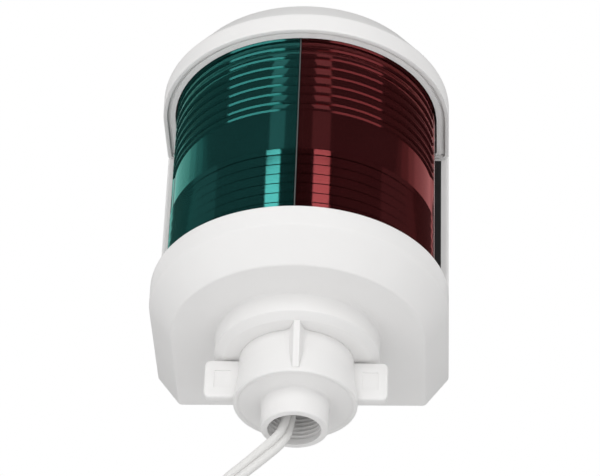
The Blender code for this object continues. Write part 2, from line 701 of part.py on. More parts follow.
def contact(name, outward, screw_height, material):
    """A brass strip: its foot is screwed to the holder, its arm reaches over the bulb's cap."""
    inner = BULB_CENTRE + outward * (BULB_HALF_LENGTH + GAP)
    outer = inner + outward * CONTACT_THICKNESS
    foot_end = inner - outward * CONTACT_FOOT_LENGTH
    tab_low = foot_end if outward > 0 else foot_end - CONTACT_TAB_WIDTH
    tab_end = -outward * CONTACT_TAB_REACH
    arm = box(name, (-CONTACT_ARM_HALF_WIDTH, -CONTACT_ARM_REACH, min(inner, outer)),
              (CONTACT_ARM_HALF_WIDTH, CONTACT_BACK, max(inner, outer)), material)
    foot = box(name + "_foot", (-CONTACT_FOOT_HALF_WIDTH, CONTACT_FRONT, min(foot_end, outer)),
               (CONTACT_FOOT_HALF_WIDTH, CONTACT_BACK, max(foot_end, outer)), material)
    tab = box(name + "_tab", (min(0.0, tab_end), CONTACT_FRONT, tab_low),
              (max(0.0, tab_end), CONTACT_BACK, tab_low + CONTACT_TAB_WIDTH), material)
    dimple = rod(name + "_dimple", (0, 0, inner - outward * WALL), (0, 0, outer + outward * WALL),
                 CONTACT_HOLE_RADIUS, material)
    hole = rod(name + "_hole", (0, CONTACT_FRONT - WALL, screw_height),
               (0, CONTACT_BACK + WALL, screw_height), SCREW_HOLE_RADIUS, material)
    join(arm, foot, tab)
    return cut(arm, dimple, hole)


def bulb_glass(material):
    """The glass tube, necked at both ends where it goes into the metal caps."""
    half = [(BULB_NECK_RADIUS, GLASS_HALF_LENGTH), (BULB_NECK_RADIUS, GLASS_NECK_LOW),
            (GLASS_SHOULDER_RADIUS, GLASS_SHOULDER), (BULB_RADIUS, GLASS_STRAIGHT)]
    outer = half + [(radius, -height) for radius, height in reversed(half)]
    inner = [(radius - BULB_WALL, height) for radius, height in reversed(outer)]
    return turned("bulb_glass", [(radius, BULB_CENTRE + height) for radius, height in outer + inner],
                  material, steps=24)


def bulb_cap(name, direction, material):
    """A metal end cap: a cup over the glass neck with a conical nose."""
    rim = BULB_HALF_LENGTH - BULB_CAP_LENGTH
    cap = turned(name, [
        (0.0, BULB_HALF_LENGTH),
        (BULB_NOSE_RADIUS, BULB_HALF_LENGTH),
        (BULB_NECK_RADIUS, BULB_HALF_LENGTH - BULB_NOSE_LENGTH),
        (BULB_CAP_RADIUS, BULB_HALF_LENGTH - BULB_SHOULDER_LENGTH),
        (BULB_CAP_RADIUS, rim),
        (BULB_NECK_RADIUS + GAP, rim),
        (BULB_NECK_RADIUS + GAP, rim + BULB_CAP_RIM),
        (0.0, rim + BULB_CAP_RIM),
    ], material, steps=24)
    if direction < 0:
        cap.rotation_euler = (math.pi, 0.0, 0.0)
    cap.location = (0.0, 0.0, BULB_CENTRE)
    return cap


def bulb_filament(material):
    """The filament and its two support wires, between the caps."""
    reach = BULB_HALF_LENGTH - BULB_CAP_LENGTH + BULB_CAP_RIM - FILAMENT_END_GAP
    support = FILAMENT_HALF_LENGTH + FILAMENT_POST
    steps = 8
    points = [Vector((0.0, 0.0, BULB_CENTRE - reach)), Vector((0.0, 0.0, BULB_CENTRE - support))]
    for step in range(steps + 1):
        t = 2 * step / steps - 1
        points.append(Vector((FILAMENT_SAG * (1 - t * t), 0.0, BULB_CENTRE + t * FILAMENT_HALF_LENGTH)))
    points += [Vector((0.0, 0.0, BULB_CENTRE + support)), Vector((0.0, 0.0, BULB_CENTRE + reach))]
    return wire("bulb_filament", points, FILAMENT_RADIUS, material)


def lead_wire(name, side, material):
    """One split end of the cable, from the adaptor's hole up to its contact's tab."""
    tab = Vector((0.0, 0.0, BULB_CENTRE - side * LEAD_TAB_HEIGHT))
    bend = [tab + place for place in LEAD_BEND]
    middle = LEAD_ROUTE[-1].lerp(bend[0], 0.5)
    route = [Vector((side * place.x, place.y, place.z)) for place in (*LEAD_ROUTE, middle, *bend)]
    return wire(name, smooth_route(route, LEAD_STEP), LEAD_DIAMETER / 2, material)


# --- the hood ------------------------------------------------------------------------------

def lens_half(name, mirrored, material):
    """One colour of the lens: a quarter drum with a straight side and a recessed belt."""
    seam = DIVIDER_THICKNESS / 2 + GAP
    inner = LENS_RADIUS - LENS_WALL
    ribbed = half_lens_outline(LENS_RADIUS, inner, LENS_BACK, seam)
    belt = half_lens_outline(LENS_RADIUS - BELT_INSET, inner, LENS_BACK, seam)
    return loft(name, [
        (LENS_BOTTOM, ribbed),
        (BELT_LOW, ribbed),
        (BELT_LOW + BELT_STEP, belt),
        (BELT_HIGH - BELT_STEP, belt),
        (BELT_HIGH, ribbed),
        (LENS_TOP, ribbed),
    ], material, mirrored)


def sector_divider(material):
    """The thin vane between the colours, whose front edge is the seam."""
    half = DIVIDER_THICKNESS / 2
    return box("sector_divider", (-half, -LENS_RADIUS - 0.1 * MM, LENS_BOTTOM + GAP),
               (half, -DIVIDER_INNER, LENS_TOP), material)


def upper_seal(material):
    outer = LENS_RADIUS - 0.2 * MM
    return slab("upper_lens_seal", u_outline(outer, outer - UPPER_SEAL_WIDTH, LENS_BACK),
                LENS_TOP + GAP, LENS_TOP + GAP + SEAL_HEIGHT, material)


def top_cap(material):
    """The cap over the lens: a grooved rim, and two pillars for its screws."""
    lip_inner = LENS_RADIUS + GAP
    cap = loft("top_cap", [
        (CAP_RIM_LOW, d_outline(HALF_WIDTH, CAP_BACK)),
        (CAP_RIM_TOP, d_outline(HALF_WIDTH, CAP_BACK)),
        (CAP_TOP, d_outline(HALF_WIDTH - RIM_BEVEL, CAP_BACK)),
    ], material)
    lens_pocket = slab("cap_lens_pocket", d_outline(lip_inner, CAP_BACK - WALL),
                       CAP_RIM_LOW - WALL, CAP_CEILING, material)
    hollow = slab("cap_hollow", d_outline(lip_inner - RIM_BEVEL, CAP_BACK - 2 * WALL),
                  CAP_CEILING - WALL, CAP_TOP - WALL, material)
    groove = slab("cap_groove", u_outline(HALF_WIDTH - CAP_RIM_WALL, lip_inner + CAP_LIP, CAP_BACK - WALL),
                  CAP_RIM_LOW - WALL, CAP_RIM_LOW + CAP_GROOVE_DEPTH, material)
    cut(cap, lens_pocket, hollow, groove)
    for side in (-1, 1):
        x = side * CAP_SCREW_X
        pillar = rod(f"cap_pillar{side}", (x, CAP_SCREW_Y, CAP_RIM_LOW + GAP),
                     (x, CAP_SCREW_Y, CAP_TOP - OVERLAP), CAP_PILLAR_RADIUS, material)
        hole = rod(f"cap_screw_hole{side}", (x, CAP_SCREW_Y, CAP_RIM_LOW - WALL),
                   (x, CAP_SCREW_Y, CAP_TOP + WALL), SCREW_HOLE_RADIUS, material)
        recess = rod(f"cap_screw_recess{side}", (x, CAP_SCREW_Y, CAP_TOP - CAP_RECESS_DEPTH),
                     (x, CAP_SCREW_Y, CAP_TOP + WALL), CAP_RECESS_RADIUS, material)
        join(cap, pillar)
        cut(cap, hole, recess)
    return cap


def screws(material):
    for name, side in (("left", -1), ("right", 1)):
        screw_piece(f"cap_screw_{name}", (side * CAP_SCREW_X, CAP_SCREW_Y, CAP_SCREW_SEAT),
                    (0, 0, -1), CAP_SCREW_LENGTH, material)
        screw_piece(f"plate_screw_{name}", (side * PLATE_SCREW_X, PLATE_SCREW_Y, BASE_RIM_TOP + GAP),
                    (0, 0, -1), PLATE_SCREW_LENGTH, material)
    for name, height in (("lower", HOLDER_SCREW_LOW), ("upper", HOLDER_SCREW_HIGH)):
        screw_piece(f"holder_screw_{name}", (0, CONTACT_FRONT - GAP, height),
                    (0, 1, 0), HOLDER_SCREW_LENGTH, material, head_radius=SMALL_HEAD_RADIUS)


def joint_frame(name, place, pieces):
    """An empty on a joint's axis that carries the pieces moving with it."""
    frame = bpy.data.objects.new(name, None)
    PARTS.objects.link(frame)
    frame.location = place
    bpy.context.view_layer.update()
    for piece in pieces:
        piece.parent = frame
        piece.matrix_parent_inverse = frame.matrix_world.inverted()


def build():
    white = make_material("white_plastic", (0.80, 0.80, 0.79), 0.45)
    black = make_material("black_plastic", (0.015, 0.015, 0.016), 0.5)
    green = make_material("green_lens", (0.0, 0.16, 0.12), 0.12, alpha=0.8)
    red = make_material("red_lens", (0.30, 0.01, 0.02), 0.12, alpha=0.8)
    rubber = make_material("seal_rubber", (0.03, 0.03, 0.03), 0.85)
    steel = make_material("screw_steel", (0.62, 0.62, 0.60), 0.3, metallic=1.0)
    brass = make_material("contact_brass", (0.66, 0.49, 0.22), 0.32, metallic=1.0)
    cap_metal = make_material("bulb_cap_metal", (0.72, 0.72, 0.70), 0.28, metallic=1.0)
    glass = make_material("bulb_glass_clear", (0.9, 0.92, 0.92), 0.04, alpha=0.35)
    tungsten = make_material("filament_tungsten", (0.25, 0.24, 0.23), 0.4, metallic=1.0)
    cable = make_material("cable_white", (0.62, 0.62, 0.60), 0.42)
    brown = make_material("lead_brown", (0.18, 0.07, 0.03), 0.45)
    blue = make_material("lead_blue", (0.03, 0.10, 0.35), 0.45)
    tin = make_material("tinned_copper", (0.70, 0.69, 0.66), 0.35, metallic=1.0)

    mounting_adaptor(white)
    lock_nut(black)
    cable_grommet(rubber)
    power_cable(cable)
    cable_coil(cable)
    coil_tie(black)
    tail_end = cable_tail(cable)[1]
    wire_tips(tail_end, tin)

    base(white)
    lower_seal(rubber)
    back_plate(white)
    inner_screen(black)
    lamp_holder(black)
    contact("contact_upper", 1, HOLDER_SCREW_HIGH, brass)
    contact("contact_lower", -1, HOLDER_SCREW_LOW, brass)
    lead_wire("lead_wire_positive", 1, brown)
    lead_wire("lead_wire_negative", -1, blue)

    bulb = [bulb_glass(glass), bulb_cap("bulb_cap_upper", 1, cap_metal),
            bulb_cap("bulb_cap_lower", -1, cap_metal), bulb_filament(tungsten)]
    hood = [lens_half("lens_green", True, green), lens_half("lens_red", False, red),
            sector_divider(black), upper_seal(rubber), top_cap(white)]
    screws(steel)

    joint_frame("bulb_slide", (0.0, 0.0, BULB_CENTRE), bulb)
    joint_frame("hood_slide", (0.0, 0.0, CAP_RIM_LOW), hood)


clear_scene()
PARTS = new_collection("navigation_light")
CUTTERS = new_collection("cutters")
build()
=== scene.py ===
"""Looks of the bicolour navigation light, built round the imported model.

Metres, +Z up. The lamp shines towards -Y, green on -X and red on +X, and Z is the pole's axis.
"""

import math

import bmesh
import bpy
from mathutils import Matrix, Vector


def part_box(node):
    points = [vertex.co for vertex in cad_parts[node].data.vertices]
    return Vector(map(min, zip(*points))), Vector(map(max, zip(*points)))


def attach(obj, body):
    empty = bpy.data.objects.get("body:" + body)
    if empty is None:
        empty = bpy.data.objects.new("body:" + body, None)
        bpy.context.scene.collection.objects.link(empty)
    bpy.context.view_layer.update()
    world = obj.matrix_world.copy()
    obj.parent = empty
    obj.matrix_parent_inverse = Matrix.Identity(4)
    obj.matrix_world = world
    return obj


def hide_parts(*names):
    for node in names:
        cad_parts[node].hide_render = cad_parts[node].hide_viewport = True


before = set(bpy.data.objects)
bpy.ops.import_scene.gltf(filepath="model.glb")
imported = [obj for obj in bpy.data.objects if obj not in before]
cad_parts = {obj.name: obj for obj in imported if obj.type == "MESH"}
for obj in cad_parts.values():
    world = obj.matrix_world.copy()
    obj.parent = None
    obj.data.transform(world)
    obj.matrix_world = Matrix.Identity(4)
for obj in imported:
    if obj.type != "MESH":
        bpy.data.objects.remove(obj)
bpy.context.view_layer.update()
MM = 0.001

# The lamp's main sizes; heights are above the adaptor's mouth
HALF_WIDTH = 42.5 * MM
BASE_BACK = 33.3 * MM
CAP_BACK = 17.3 * MM
PLATE_FRONT = 17.4 * MM
PLATE_BACK = 19.8 * MM
RIM_BEVEL = 6.6 * MM
WALL = 2.4 * MM
LENS_RADIUS = 38.5 * MM
LENS_INNER = 36.8 * MM
LENS_BACK = 14.5 * MM
BELT_LOW = 68.7 * MM
BELT_HIGH = 83.0 * MM
BASE_LOW, BASE_HIGH = (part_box("base")[i].z for i in (0, 1))
BASE_UNDERSIDE = 30.0 * MM
CAP_LOW, CAP_HIGH = (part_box("top_cap")[i].z for i in (0, 1))
LENS_BOTTOM, LENS_TOP = (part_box("lens_red")[i].z for i in (0, 1))
BULB_CENTRE = 74.8 * MM
BASE_RIM_LOW = 39.0 * MM
CAP_RIM_TOP = 114.6 * MM
RIM_ROUNDING = 1.6 * MM
CLEARANCE = 0.3 * MM
CAP_SCREW_X = 25.0 * MM
CAP_SCREW_Y = 10.8 * MM
PLATE_SCREW_X = 37.2 * MM
PLATE_SCREW_Y = 24.0 * MM
SCREW_HOLE_RADIUS = 1.65 * MM
SEAL_LEDGE = 40.7 * MM
CIRCLE_STEPS = 96
SHARP_ANGLE = 32.0                 # edges that turn more than this stay sharp in the shading

# Camera
CAMERA_PLACE = Vector((41.31, -675.92, -438.74)) * MM
CAMERA_YAW = -3.537
CAMERA_PITCH = 36.70
CAMERA_ROLL = 2.205
CAMERA_LENS = 175.3
SENSOR_WIDTH = 36.0

# Cable: a flat twin, core beside core
CORE_RADIUS = 1.2 * MM
COIL_CENTRE = Vector((-25.0, 0.0, -92.0)) * MM
COIL_RADIUS = 29.0 * MM
COIL_STEP_OUT = 1.25 * MM
COIL_STEP_ASIDE = 2.5 * MM
COIL_START = 142.0
COIL_END = 180.0 + 3 * 360.0
TAIL_END = 29.0 * MM
CABLE_ROUTE = [
    Vector((0.0, 0.0, 24.2)) * MM,
    Vector((0.0, 0.0, 17.7)) * MM,
    Vector((-0.5, 0.0, 10.5)) * MM,
    Vector((-1.5, 0.0, 4.9)) * MM,
    Vector((-2.5, 0.0, 0.0)) * MM,
    Vector((-4.3, 0.0, -3.5)) * MM,
    Vector((-10.3, 0.0, -9.8)) * MM,
    Vector((-18.0, 0.0, -17.6)) * MM,
    Vector((-22.4, 0.0, -24.8)) * MM,
    Vector((-25.0, 0.0, -33.0)) * MM,
    Vector((-26.9, -1.2, -42.0)) * MM,
    Vector((-27.5, -5.6, -50.5)) * MM,
    Vector((-27.5, -11.4, -57.8)) * MM,
]
CABLE_TWIST = math.radians(-60)    # inside the adaptor the right core lies behind the left one
TWIST_TOP = 4.0 * MM
TWIST_LOW = -13.0 * MM
TIP_LENGTH = 8.4 * MM
TIP_START = 0.5 * MM
TIP_RADIUS = 0.46 * MM
STRANDS = 6
STRAND_BULGE = 0.09 * MM
STRAND_LAY = 0.13                  # radians of twist from ring to ring


# --- camera, lights and stage ----------------------------------------------------------------

def add_camera():
    yaw, pitch, roll = (math.radians(x) for x in (CAMERA_YAW, CAMERA_PITCH, CAMERA_ROLL))
    forward = Vector((math.sin(yaw) * math.cos(pitch), math.cos(yaw) * math.cos(pitch), math.sin(pitch)))
    level = Vector((math.cos(yaw), -math.sin(yaw), 0.0))
    upright = level.cross(forward)
    right = level * math.cos(roll) + upright * math.sin(roll)
    up = upright * math.cos(roll) - level * math.sin(roll)
    data = bpy.data.cameras.new("camera")
    data.lens = CAMERA_LENS
    data.sensor_width = SENSOR_WIDTH
    data.clip_start = 0.01
    camera = bpy.data.objects.new("camera", data)
    bpy.context.scene.collection.objects.link(camera)
    turn = Matrix((right, up, -forward)).transposed()
    camera.matrix_world = Matrix.Translation(CAMERA_PLACE) @ turn.to_4x4()
    bpy.context.scene.camera = camera


def softbox(name, azimuth, elevation, distance, width, height, brightness):
    """An area light that faces the lamp. Azimuth 0 is in front, 90 on the +X side."""
    target = Vector((0.0, 0.0, BULB_CENTRE))
    a, e = math.radians(azimuth), math.radians(elevation)
    back = Vector((math.sin(a) * math.cos(e), -math.cos(a) * math.cos(e), math.sin(e)))
    data = bpy.data.lights.new(name, "AREA")
    data.shape = "RECTANGLE"
    data.size = width
    data.size_y = height
    data.energy = brightness * math.pi * width * height
    light = bpy.data.objects.new(name, data)
    bpy.context.scene.collection.objects.link(light)
    light.location = target + back * distance
    light.rotation_mode = "QUATERNION"
    light.rotation_quaternion = (-back).to_track_quat("-Z", "Y")
    light.visible_camera = False
    return light


# Name, azimuth, elevation, distance, width, height, brightness. The lens doesn't mirror these.
FILL_LIGHTS = (
    ("key_below_left", -42, -38, 0.9, 0.8, 0.8, 0.94),
    ("fill_below_right", 46, -42, 0.9, 0.8, 0.8, 0.74),
    ("fill_below", 4, -66, 1.0, 0.6, 0.5, 3.1),
)
# The same values for the lights that the lens mirrors as streaks
STREAK_LIGHTS = (
    ("ledge_left", -52, -53, 1.2, 0.66, 0.36, 1.9),
    ("ledge_right", 56, -53, 1.2, 0.66, 0.36, 1.4),
    ("strip_left_low", -21, 8, 1.2, 0.22, 0.50, 4.6),
    ("strip_left_mid", -21, 36, 1.2, 0.22, 0.30, 0.35),
    ("strip_left_high", -24, 58, 1.2, 0.18, 0.40, 0.6),
    ("strip_right_low", 17, 8, 1.2, 0.26, 0.50, 3.9),
    ("strip_right_mid", 17, 36, 1.2, 0.26, 0.30, 0.30),
    ("strip_right_high", 19, 58, 1.2, 0.20, 0.40, 0.85),
    ("side_left_low", -88, 20, 1.2, 0.70, 0.25, 0.13),
    ("side_right_low", 92, 20, 1.2, 1.00, 0.25, 0.15),
)
# Overlapping lights at both sides, which give the belt a glow that grows towards its ends
SIDE_GLOWS = ((93, 0.10), (103, 0.16), (112, 0.22), (120, 0.22))    # inner edge's azimuth, brightness
SIDE_GLOW_END = 150
SIDE_GLOW_ELEVATION = 36.5
SIDE_GLOW_DISTANCE = 1.2
SIDE_GLOW_HEIGHT = 0.22
WORLD_LIGHT = 0.69
MIRRORED_FRONT = 0.008             # what polished surfaces mirror in front of the lamp
MIRRORED_REST = 0.15


def add_lights():
    for light in FILL_LIGHTS:
        softbox(*light).visible_glossy = False
    for light in STREAK_LIGHTS:
        softbox(*light)
    for inner_edge, brightness in SIDE_GLOWS:
        azimuth = (inner_edge + SIDE_GLOW_END) / 2
        half_angle = math.radians(SIDE_GLOW_END - inner_edge) / 2
        width = 2 * SIDE_GLOW_DISTANCE * math.tan(half_angle)
        for name, side in (("left", -1), ("right", 1)):
            softbox(f"side_{name}_{inner_edge}", side * azimuth, SIDE_GLOW_ELEVATION, SIDE_GLOW_DISTANCE,
                    width, SIDE_GLOW_HEIGHT, brightness)


def add_world():
    """White to the camera, an even grey as light, and mostly dark to polished surfaces."""
    scene = bpy.context.scene
    world = bpy.data.worlds.new("studio")
    scene.world = world
    world.use_nodes = True
    tree = world.node_tree
    tree.nodes.clear()
    path = tree.nodes.new("ShaderNodeLightPath")
    seen = tree.nodes.new("ShaderNodeBackground")
    seen.inputs["Color"].default_value = (1.0, 1.0, 1.0, 1.0)
    lit = tree.nodes.new("ShaderNodeBackground")
    lit.inputs["Color"].default_value = (WORLD_LIGHT, WORLD_LIGHT, WORLD_LIGHT, 1.0)
    place = tree.nodes.new("ShaderNodeTexCoord")
    parts = tree.nodes.new("ShaderNodeSeparateXYZ")
    tree.links.new(place.outputs["Generated"], parts.inputs[0])
    dark_front = tree.nodes.new("ShaderNodeMapRange")
    dark_front.inputs["From Min"].default_value = -0.90
    dark_front.inputs["From Max"].default_value = -0.78
    dark_front.inputs["To Min"].default_value = MIRRORED_FRONT
    dark_front.inputs["To Max"].default_value = MIRRORED_REST
    tree.links.new(parts.outputs["Y"], dark_front.inputs["Value"])
    reflected = tree.nodes.new("ShaderNodeBackground")
    tree.links.new(dark_front.outputs["Result"], reflected.inputs["Strength"])
    glossy = tree.nodes.new("ShaderNodeMixShader")
    tree.links.new(path.outputs["Is Glossy Ray"], glossy.inputs[0])
    tree.links.new(lit.outputs[0], glossy.inputs[1])
    tree.links.new(reflected.outputs[0], glossy.inputs[2])
    camera = tree.nodes.new("ShaderNodeMixShader")
    tree.links.new(path.outputs["Is Camera Ray"], camera.inputs[0])
    tree.links.new(glossy.outputs[0], camera.inputs[1])
    tree.links.new(seen.outputs[0], camera.inputs[2])
    out = tree.nodes.new("ShaderNodeOutputWorld")
    tree.links.new(camera.outputs[0], out.inputs[0])
    scene.view_settings.view_transform = "Standard"


FLOOR_HEIGHT = -0.62
FLOOR_RADIUS = 6.0


def add_floor():
    bpy.ops.mesh.primitive_circle_add(vertices=CIRCLE_STEPS, radius=FLOOR_RADIUS, fill_type="NGON",
                                      location=(0, 0, FLOOR_HEIGHT))
    floor = bpy.context.object
    floor.name = "studio_floor"
    material = bpy.data.materials.new("floor_paper")
    material.use_nodes = True
    shader = material.node_tree.nodes["Principled BSDF"]
    shader.inputs["Base Color"].default_value = (0.86, 0.86, 0.86, 1.0)
    shader.inputs["Roughness"].default_value = 0.9
    floor.data.materials.append(material)
    floor.visible_glossy = False


# --- materials -------------------------------------------------------------------------------

def moulded(name, color, roughness, grain=0.0, grain_size=0.5 * MM, mottle=0.04, metallic=0.0):
    """Plastic, rubber or metal: slightly uneven colour and gloss, and a fine grain."""
    material = bpy.data.materials.new(name)
    material.use_nodes = True
    tree = material.node_tree
    shader = tree.nodes["Principled BSDF"]
    shader.inputs["Metallic"].default_value = metallic
    place = tree.nodes.new("ShaderNodeTexCoord")
    broad = tree.nodes.new("ShaderNodeTexNoise")
    broad.inputs["Scale"].default_value = 60.0
    broad.inputs["Detail"].default_value = 4.0
    tree.links.new(place.outputs["Object"], broad.inputs["Vector"])
    tint = tree.nodes.new("ShaderNodeValToRGB")
    tint.color_ramp.elements[0].position = 0.3
    tint.color_ramp.elements[0].color = (*(c * (1 - mottle) for c in color), 1.0)
    tint.color_ramp.elements[1].position = 0.7
    tint.color_ramp.elements[1].color = (*color, 1.0)
    tree.links.new(broad.outputs["Fac"], tint.inputs["Fac"])
    tree.links.new(tint.outputs["Color"], shader.inputs["Base Color"])
    fine = tree.nodes.new("ShaderNodeTexNoise")
    fine.inputs["Scale"].default_value = 1.0 / grain_size
    fine.inputs["Detail"].default_value = 3.0
    tree.links.new(place.outputs["Object"], fine.inputs["Vector"])
    gloss = tree.nodes.new("ShaderNodeMapRange")
    gloss.inputs["To Min"].default_value = roughness * 0.9
    gloss.inputs["To Max"].default_value = roughness * 1.1
    tree.links.new(fine.outputs["Fac"], gloss.inputs["Value"])
    tree.links.new(gloss.outputs["Result"], shader.inputs["Roughness"])
    if grain:
        bump = tree.nodes.new("ShaderNodeBump")
        bump.inputs["Strength"].default_value = grain
        bump.inputs["Distance"].default_value = 0.05 * MM
        tree.links.new(fine.outputs["Fac"], bump.inputs["Height"])
        tree.links.new(bump.outputs["Normal"], shader.inputs["Normal"])
    return material


def tinted_lens(name, color, shine):
    """Deeply tinted polished acrylic, which reflects in its own colour from its inner face."""
    material = bpy.data.materials.new(name)
    material.use_nodes = True
    tree = material.node_tree
    shader = tree.nodes["Principled BSDF"]
    shader.inputs["IOR"].default_value = 1.49
    shader.inputs["Transmission Weight"].default_value = 0.72
    shader.inputs["Specular IOR Level"].default_value = 0.6
    shader.inputs["Specular Tint"].default_value = (*shine, 1.0)
    shader.inputs["Metallic"].default_value = 0.6
    place = tree.nodes.new("ShaderNodeTexCoord")
    cloud = tree.nodes.new("ShaderNodeTexNoise")
    cloud.inputs["Scale"].default_value = 45.0
    cloud.inputs["Detail"].default_value = 2.0
    tree.links.new(place.outputs["Object"], cloud.inputs["Vector"])
    tint = tree.nodes.new("ShaderNodeValToRGB")
    tint.color_ramp.elements[0].position = 0.35
    tint.color_ramp.elements[0].color = (*(c * 0.88 for c in color), 1.0)
    tint.color_ramp.elements[1].position = 0.65
    tint.color_ramp.elements[1].color = (*color, 1.0)
    tree.links.new(cloud.outputs["Fac"], tint.inputs["Fac"])
    tree.links.new(tint.outputs["Color"], shader.inputs["Base Color"])
    polish = tree.nodes.new("ShaderNodeTexNoise")
    polish.inputs["Scale"].default_value = 900.0
    tree.links.new(place.outputs["Object"], polish.inputs["Vector"])
    gloss = tree.nodes.new("ShaderNodeMapRange")
    gloss.inputs["To Min"].default_value = 0.05
    gloss.inputs["To Max"].default_value = 0.09
    tree.links.new(polish.outputs["Fac"], gloss.inputs["Value"])
    tree.links.new(gloss.outputs["Result"], shader.inputs["Roughness"])
    return material


def clear_glass(name):
    """Thin blown glass with a faint unevenness in its tint."""
    material = bpy.data.materials.new(name)
    material.use_nodes = True
    tree = material.node_tree
    shader = tree.nodes["Principled BSDF"]
    shader.inputs["IOR"].default_value = 1.46
    shader.inputs["Transmission Weight"].default_value = 1.0
    place = tree.nodes.new("ShaderNodeTexCoord")
    smoke = tree.nodes.new("ShaderNodeTexNoise")
    smoke.inputs["Scale"].default_value = 120.0
    tree.links.new(place.outputs["Object"], smoke.inputs["Vector"])
    tint = tree.nodes.new("ShaderNodeValToRGB")
    tint.color_ramp.elements[0].color = (0.90, 0.92, 0.91, 1.0)
    tint.color_ramp.elements[1].color = (0.99, 1.0, 1.0, 1.0)
    tree.links.new(smoke.outputs["Fac"], tint.inputs["Fac"])
    tree.links.new(tint.outputs["Color"], shader.inputs["Base Color"])
    shader.inputs["Roughness"].default_value = 0.02
    return material


# --- mesh makers -----------------------------------------------------------------------------

def add_piece(name, mesh, material, smooth_angle=SHARP_ANGLE):
    mesh.materials.append(material)
    mesh.shade_smooth()
    mesh.set_sharp_from_angle(angle=math.radians(smooth_angle))
    piece = bpy.data.objects.new(name, mesh)
    bpy.context.scene.collection.objects.link(piece)
    return piece


def ring_solid(name, rings, material, wrapped=False, smooth_angle=SHARP_ANGLE):
    """A closed solid through rings of equal point count: capped at both ends, or wrapped round."""
    shape = bmesh.new()
    made = [[shape.verts.new(point) for point in ring] for ring in rings]
    count = len(made[0])
    pairs = list(zip(made, made[1:]))
    if wrapped:
        pairs.append((made[-1], made[0]))
    else:
        shape.faces.new(made[0])
        shape.faces.new(made[-1])
    for lower, upper in pairs:
        for i in range(count):
            j = (i + 1) % count
            shape.faces.new((lower[i], lower[j], upper[j], upper[i]))
    bmesh.ops.recalc_face_normals(shape, faces=shape.faces)
    mesh = bpy.data.meshes.new(name)
    shape.to_mesh(mesh)
    shape.free()
    return add_piece(name, mesh, material, smooth_angle)


def rounded(points, radii, steps=4, closed=True):
    """The outline with its corners rounded; radii is one value, or one for each point."""
    points = [Vector(point) for point in points]
    if not isinstance(radii, (list, tuple)):
        radii = [radii] * len(points)
    outline = []
    for i, corner in enumerate(points):
        if not closed and i in (0, len(points) - 1) or not radii[i]:
            outline.append(corner)
            continue
        before = points[i - 1] - corner
        after = points[(i + 1) % len(points)] - corner
        half_turn = (math.pi - before.angle(after)) / 2
        cut = min(radii[i] * math.tan(half_turn), 0.48 * before.length, 0.48 * after.length)
        start = corner + before.normalized() * cut
        end = corner + after.normalized() * cut
        for step in range(steps + 1):
            t = step / steps
            outline.append(start * (1 - t) ** 2 + corner * 2 * t * (1 - t) + end * t ** 2)
    return outline


def circle(radius, height, steps=CIRCLE_STEPS):
    return [Vector((radius * math.cos(math.tau * i / steps), radius * math.sin(math.tau * i / steps), height))
            for i in range(steps)]


def turned(name, profile, material, steps=CIRCLE_STEPS, wrapped=True):
    """A solid of revolution about Z from (radius, height) points."""
    return ring_solid(name, [circle(radius, height, steps) for radius, height in profile], material, wrapped)


def arc(radius, start, end, steps):
    return [(radius * math.cos(math.radians(start + (end - start) * i / steps)),
             radius * math.sin(math.radians(start + (end - start) * i / steps))) for i in range(steps + 1)]


def d_outline(radius, back, corner=1.0 * MM):
    """The lamp's plan: half circle in front, straight sides, flat back with rounded corners."""
    right = [(radius - corner + x, back - corner + y) for x, y in arc(corner, 0, 90, 4)]
    left = [(corner - radius + x, back - corner + y) for x, y in arc(corner, 90, 180, 4)]
    return arc(radius, 180, 360, CIRCLE_STEPS) + right + left


def d_solid(name, profile, material):
    """A solid with the lamp's plan at every level; profile holds (radius, back, height)."""
    return ring_solid(name, [[Vector((x, y, height)) for x, y in d_outline(radius, back)]
                             for radius, back, height in profile], material)


def u_outline(outer, inner, back):
    """A band round the front of the lamp, open at the back."""
    return ([(-outer, back)] + arc(outer, 180, 360, CIRCLE_STEPS) + [(outer, back)]
            + [(inner, back)] + arc(inner, 360, 180, CIRCLE_STEPS) + [(-inner, back)])


def slab(name, outline, low, high, material, bevel=0.0):
    """An upright solid of one outline, with its sharp edges rounded if bevel is given."""
    piece = ring_solid(name, [[Vector((x, y, z)) for x, y in (p[:2] for p in outline)]
                              for z in (low, high)], material)
    if bevel:
        soften(piece, bevel)
    return piece


def block(name, low, high, material, bevel=0.0):
    outline = [(low[0], low[1]), (high[0], low[1]), (high[0], high[1]), (low[0], high[1])]
    return slab(name, outline, low[2], high[2], material, bevel)


def soften(piece, width, segments=3, angle=40.0):
    """Round the sharp edges and keep the result in the mesh."""
    bevel = piece.modifiers.new("soften", "BEVEL")
    bevel.width = width
    bevel.segments = segments
    bevel.limit_method = "ANGLE"
    bevel.angle_limit = math.radians(angle)
    bevel.use_clamp_overlap = True
    settle(piece)


def settle(piece):
    """Apply the modifiers and shade the result."""
    bpy.context.view_layer.update()
    mesh = bpy.data.meshes.new_from_object(piece.evaluated_get(bpy.context.evaluated_depsgraph_get()))
    piece.modifiers.clear()
    piece.data = mesh
    mesh.shade_smooth()
    mesh.set_sharp_from_angle(angle=math.radians(SHARP_ANGLE))


def combine(piece, operation, *tools):
    """Join the tools to the piece or cut them from it, and remove them."""
    for tool in tools:
        step = piece.modifiers.new("combine", "BOOLEAN")
        step.operation = operation
        step.object = tool
    settle(piece)
    for tool in tools:
        bpy.data.objects.remove(tool, do_unlink=True)
    return piece


def rod(name, start, end, radius, material, steps=32):
    start, end = Vector(start), Vector(end)
    turn = Vector((0, 0, 1)).rotation_difference(end - start).to_matrix()
    rings = [[place + turn @ point for point in circle(radius, 0.0, steps)] for place in (start, end)]
    return ring_solid(name, rings, material)


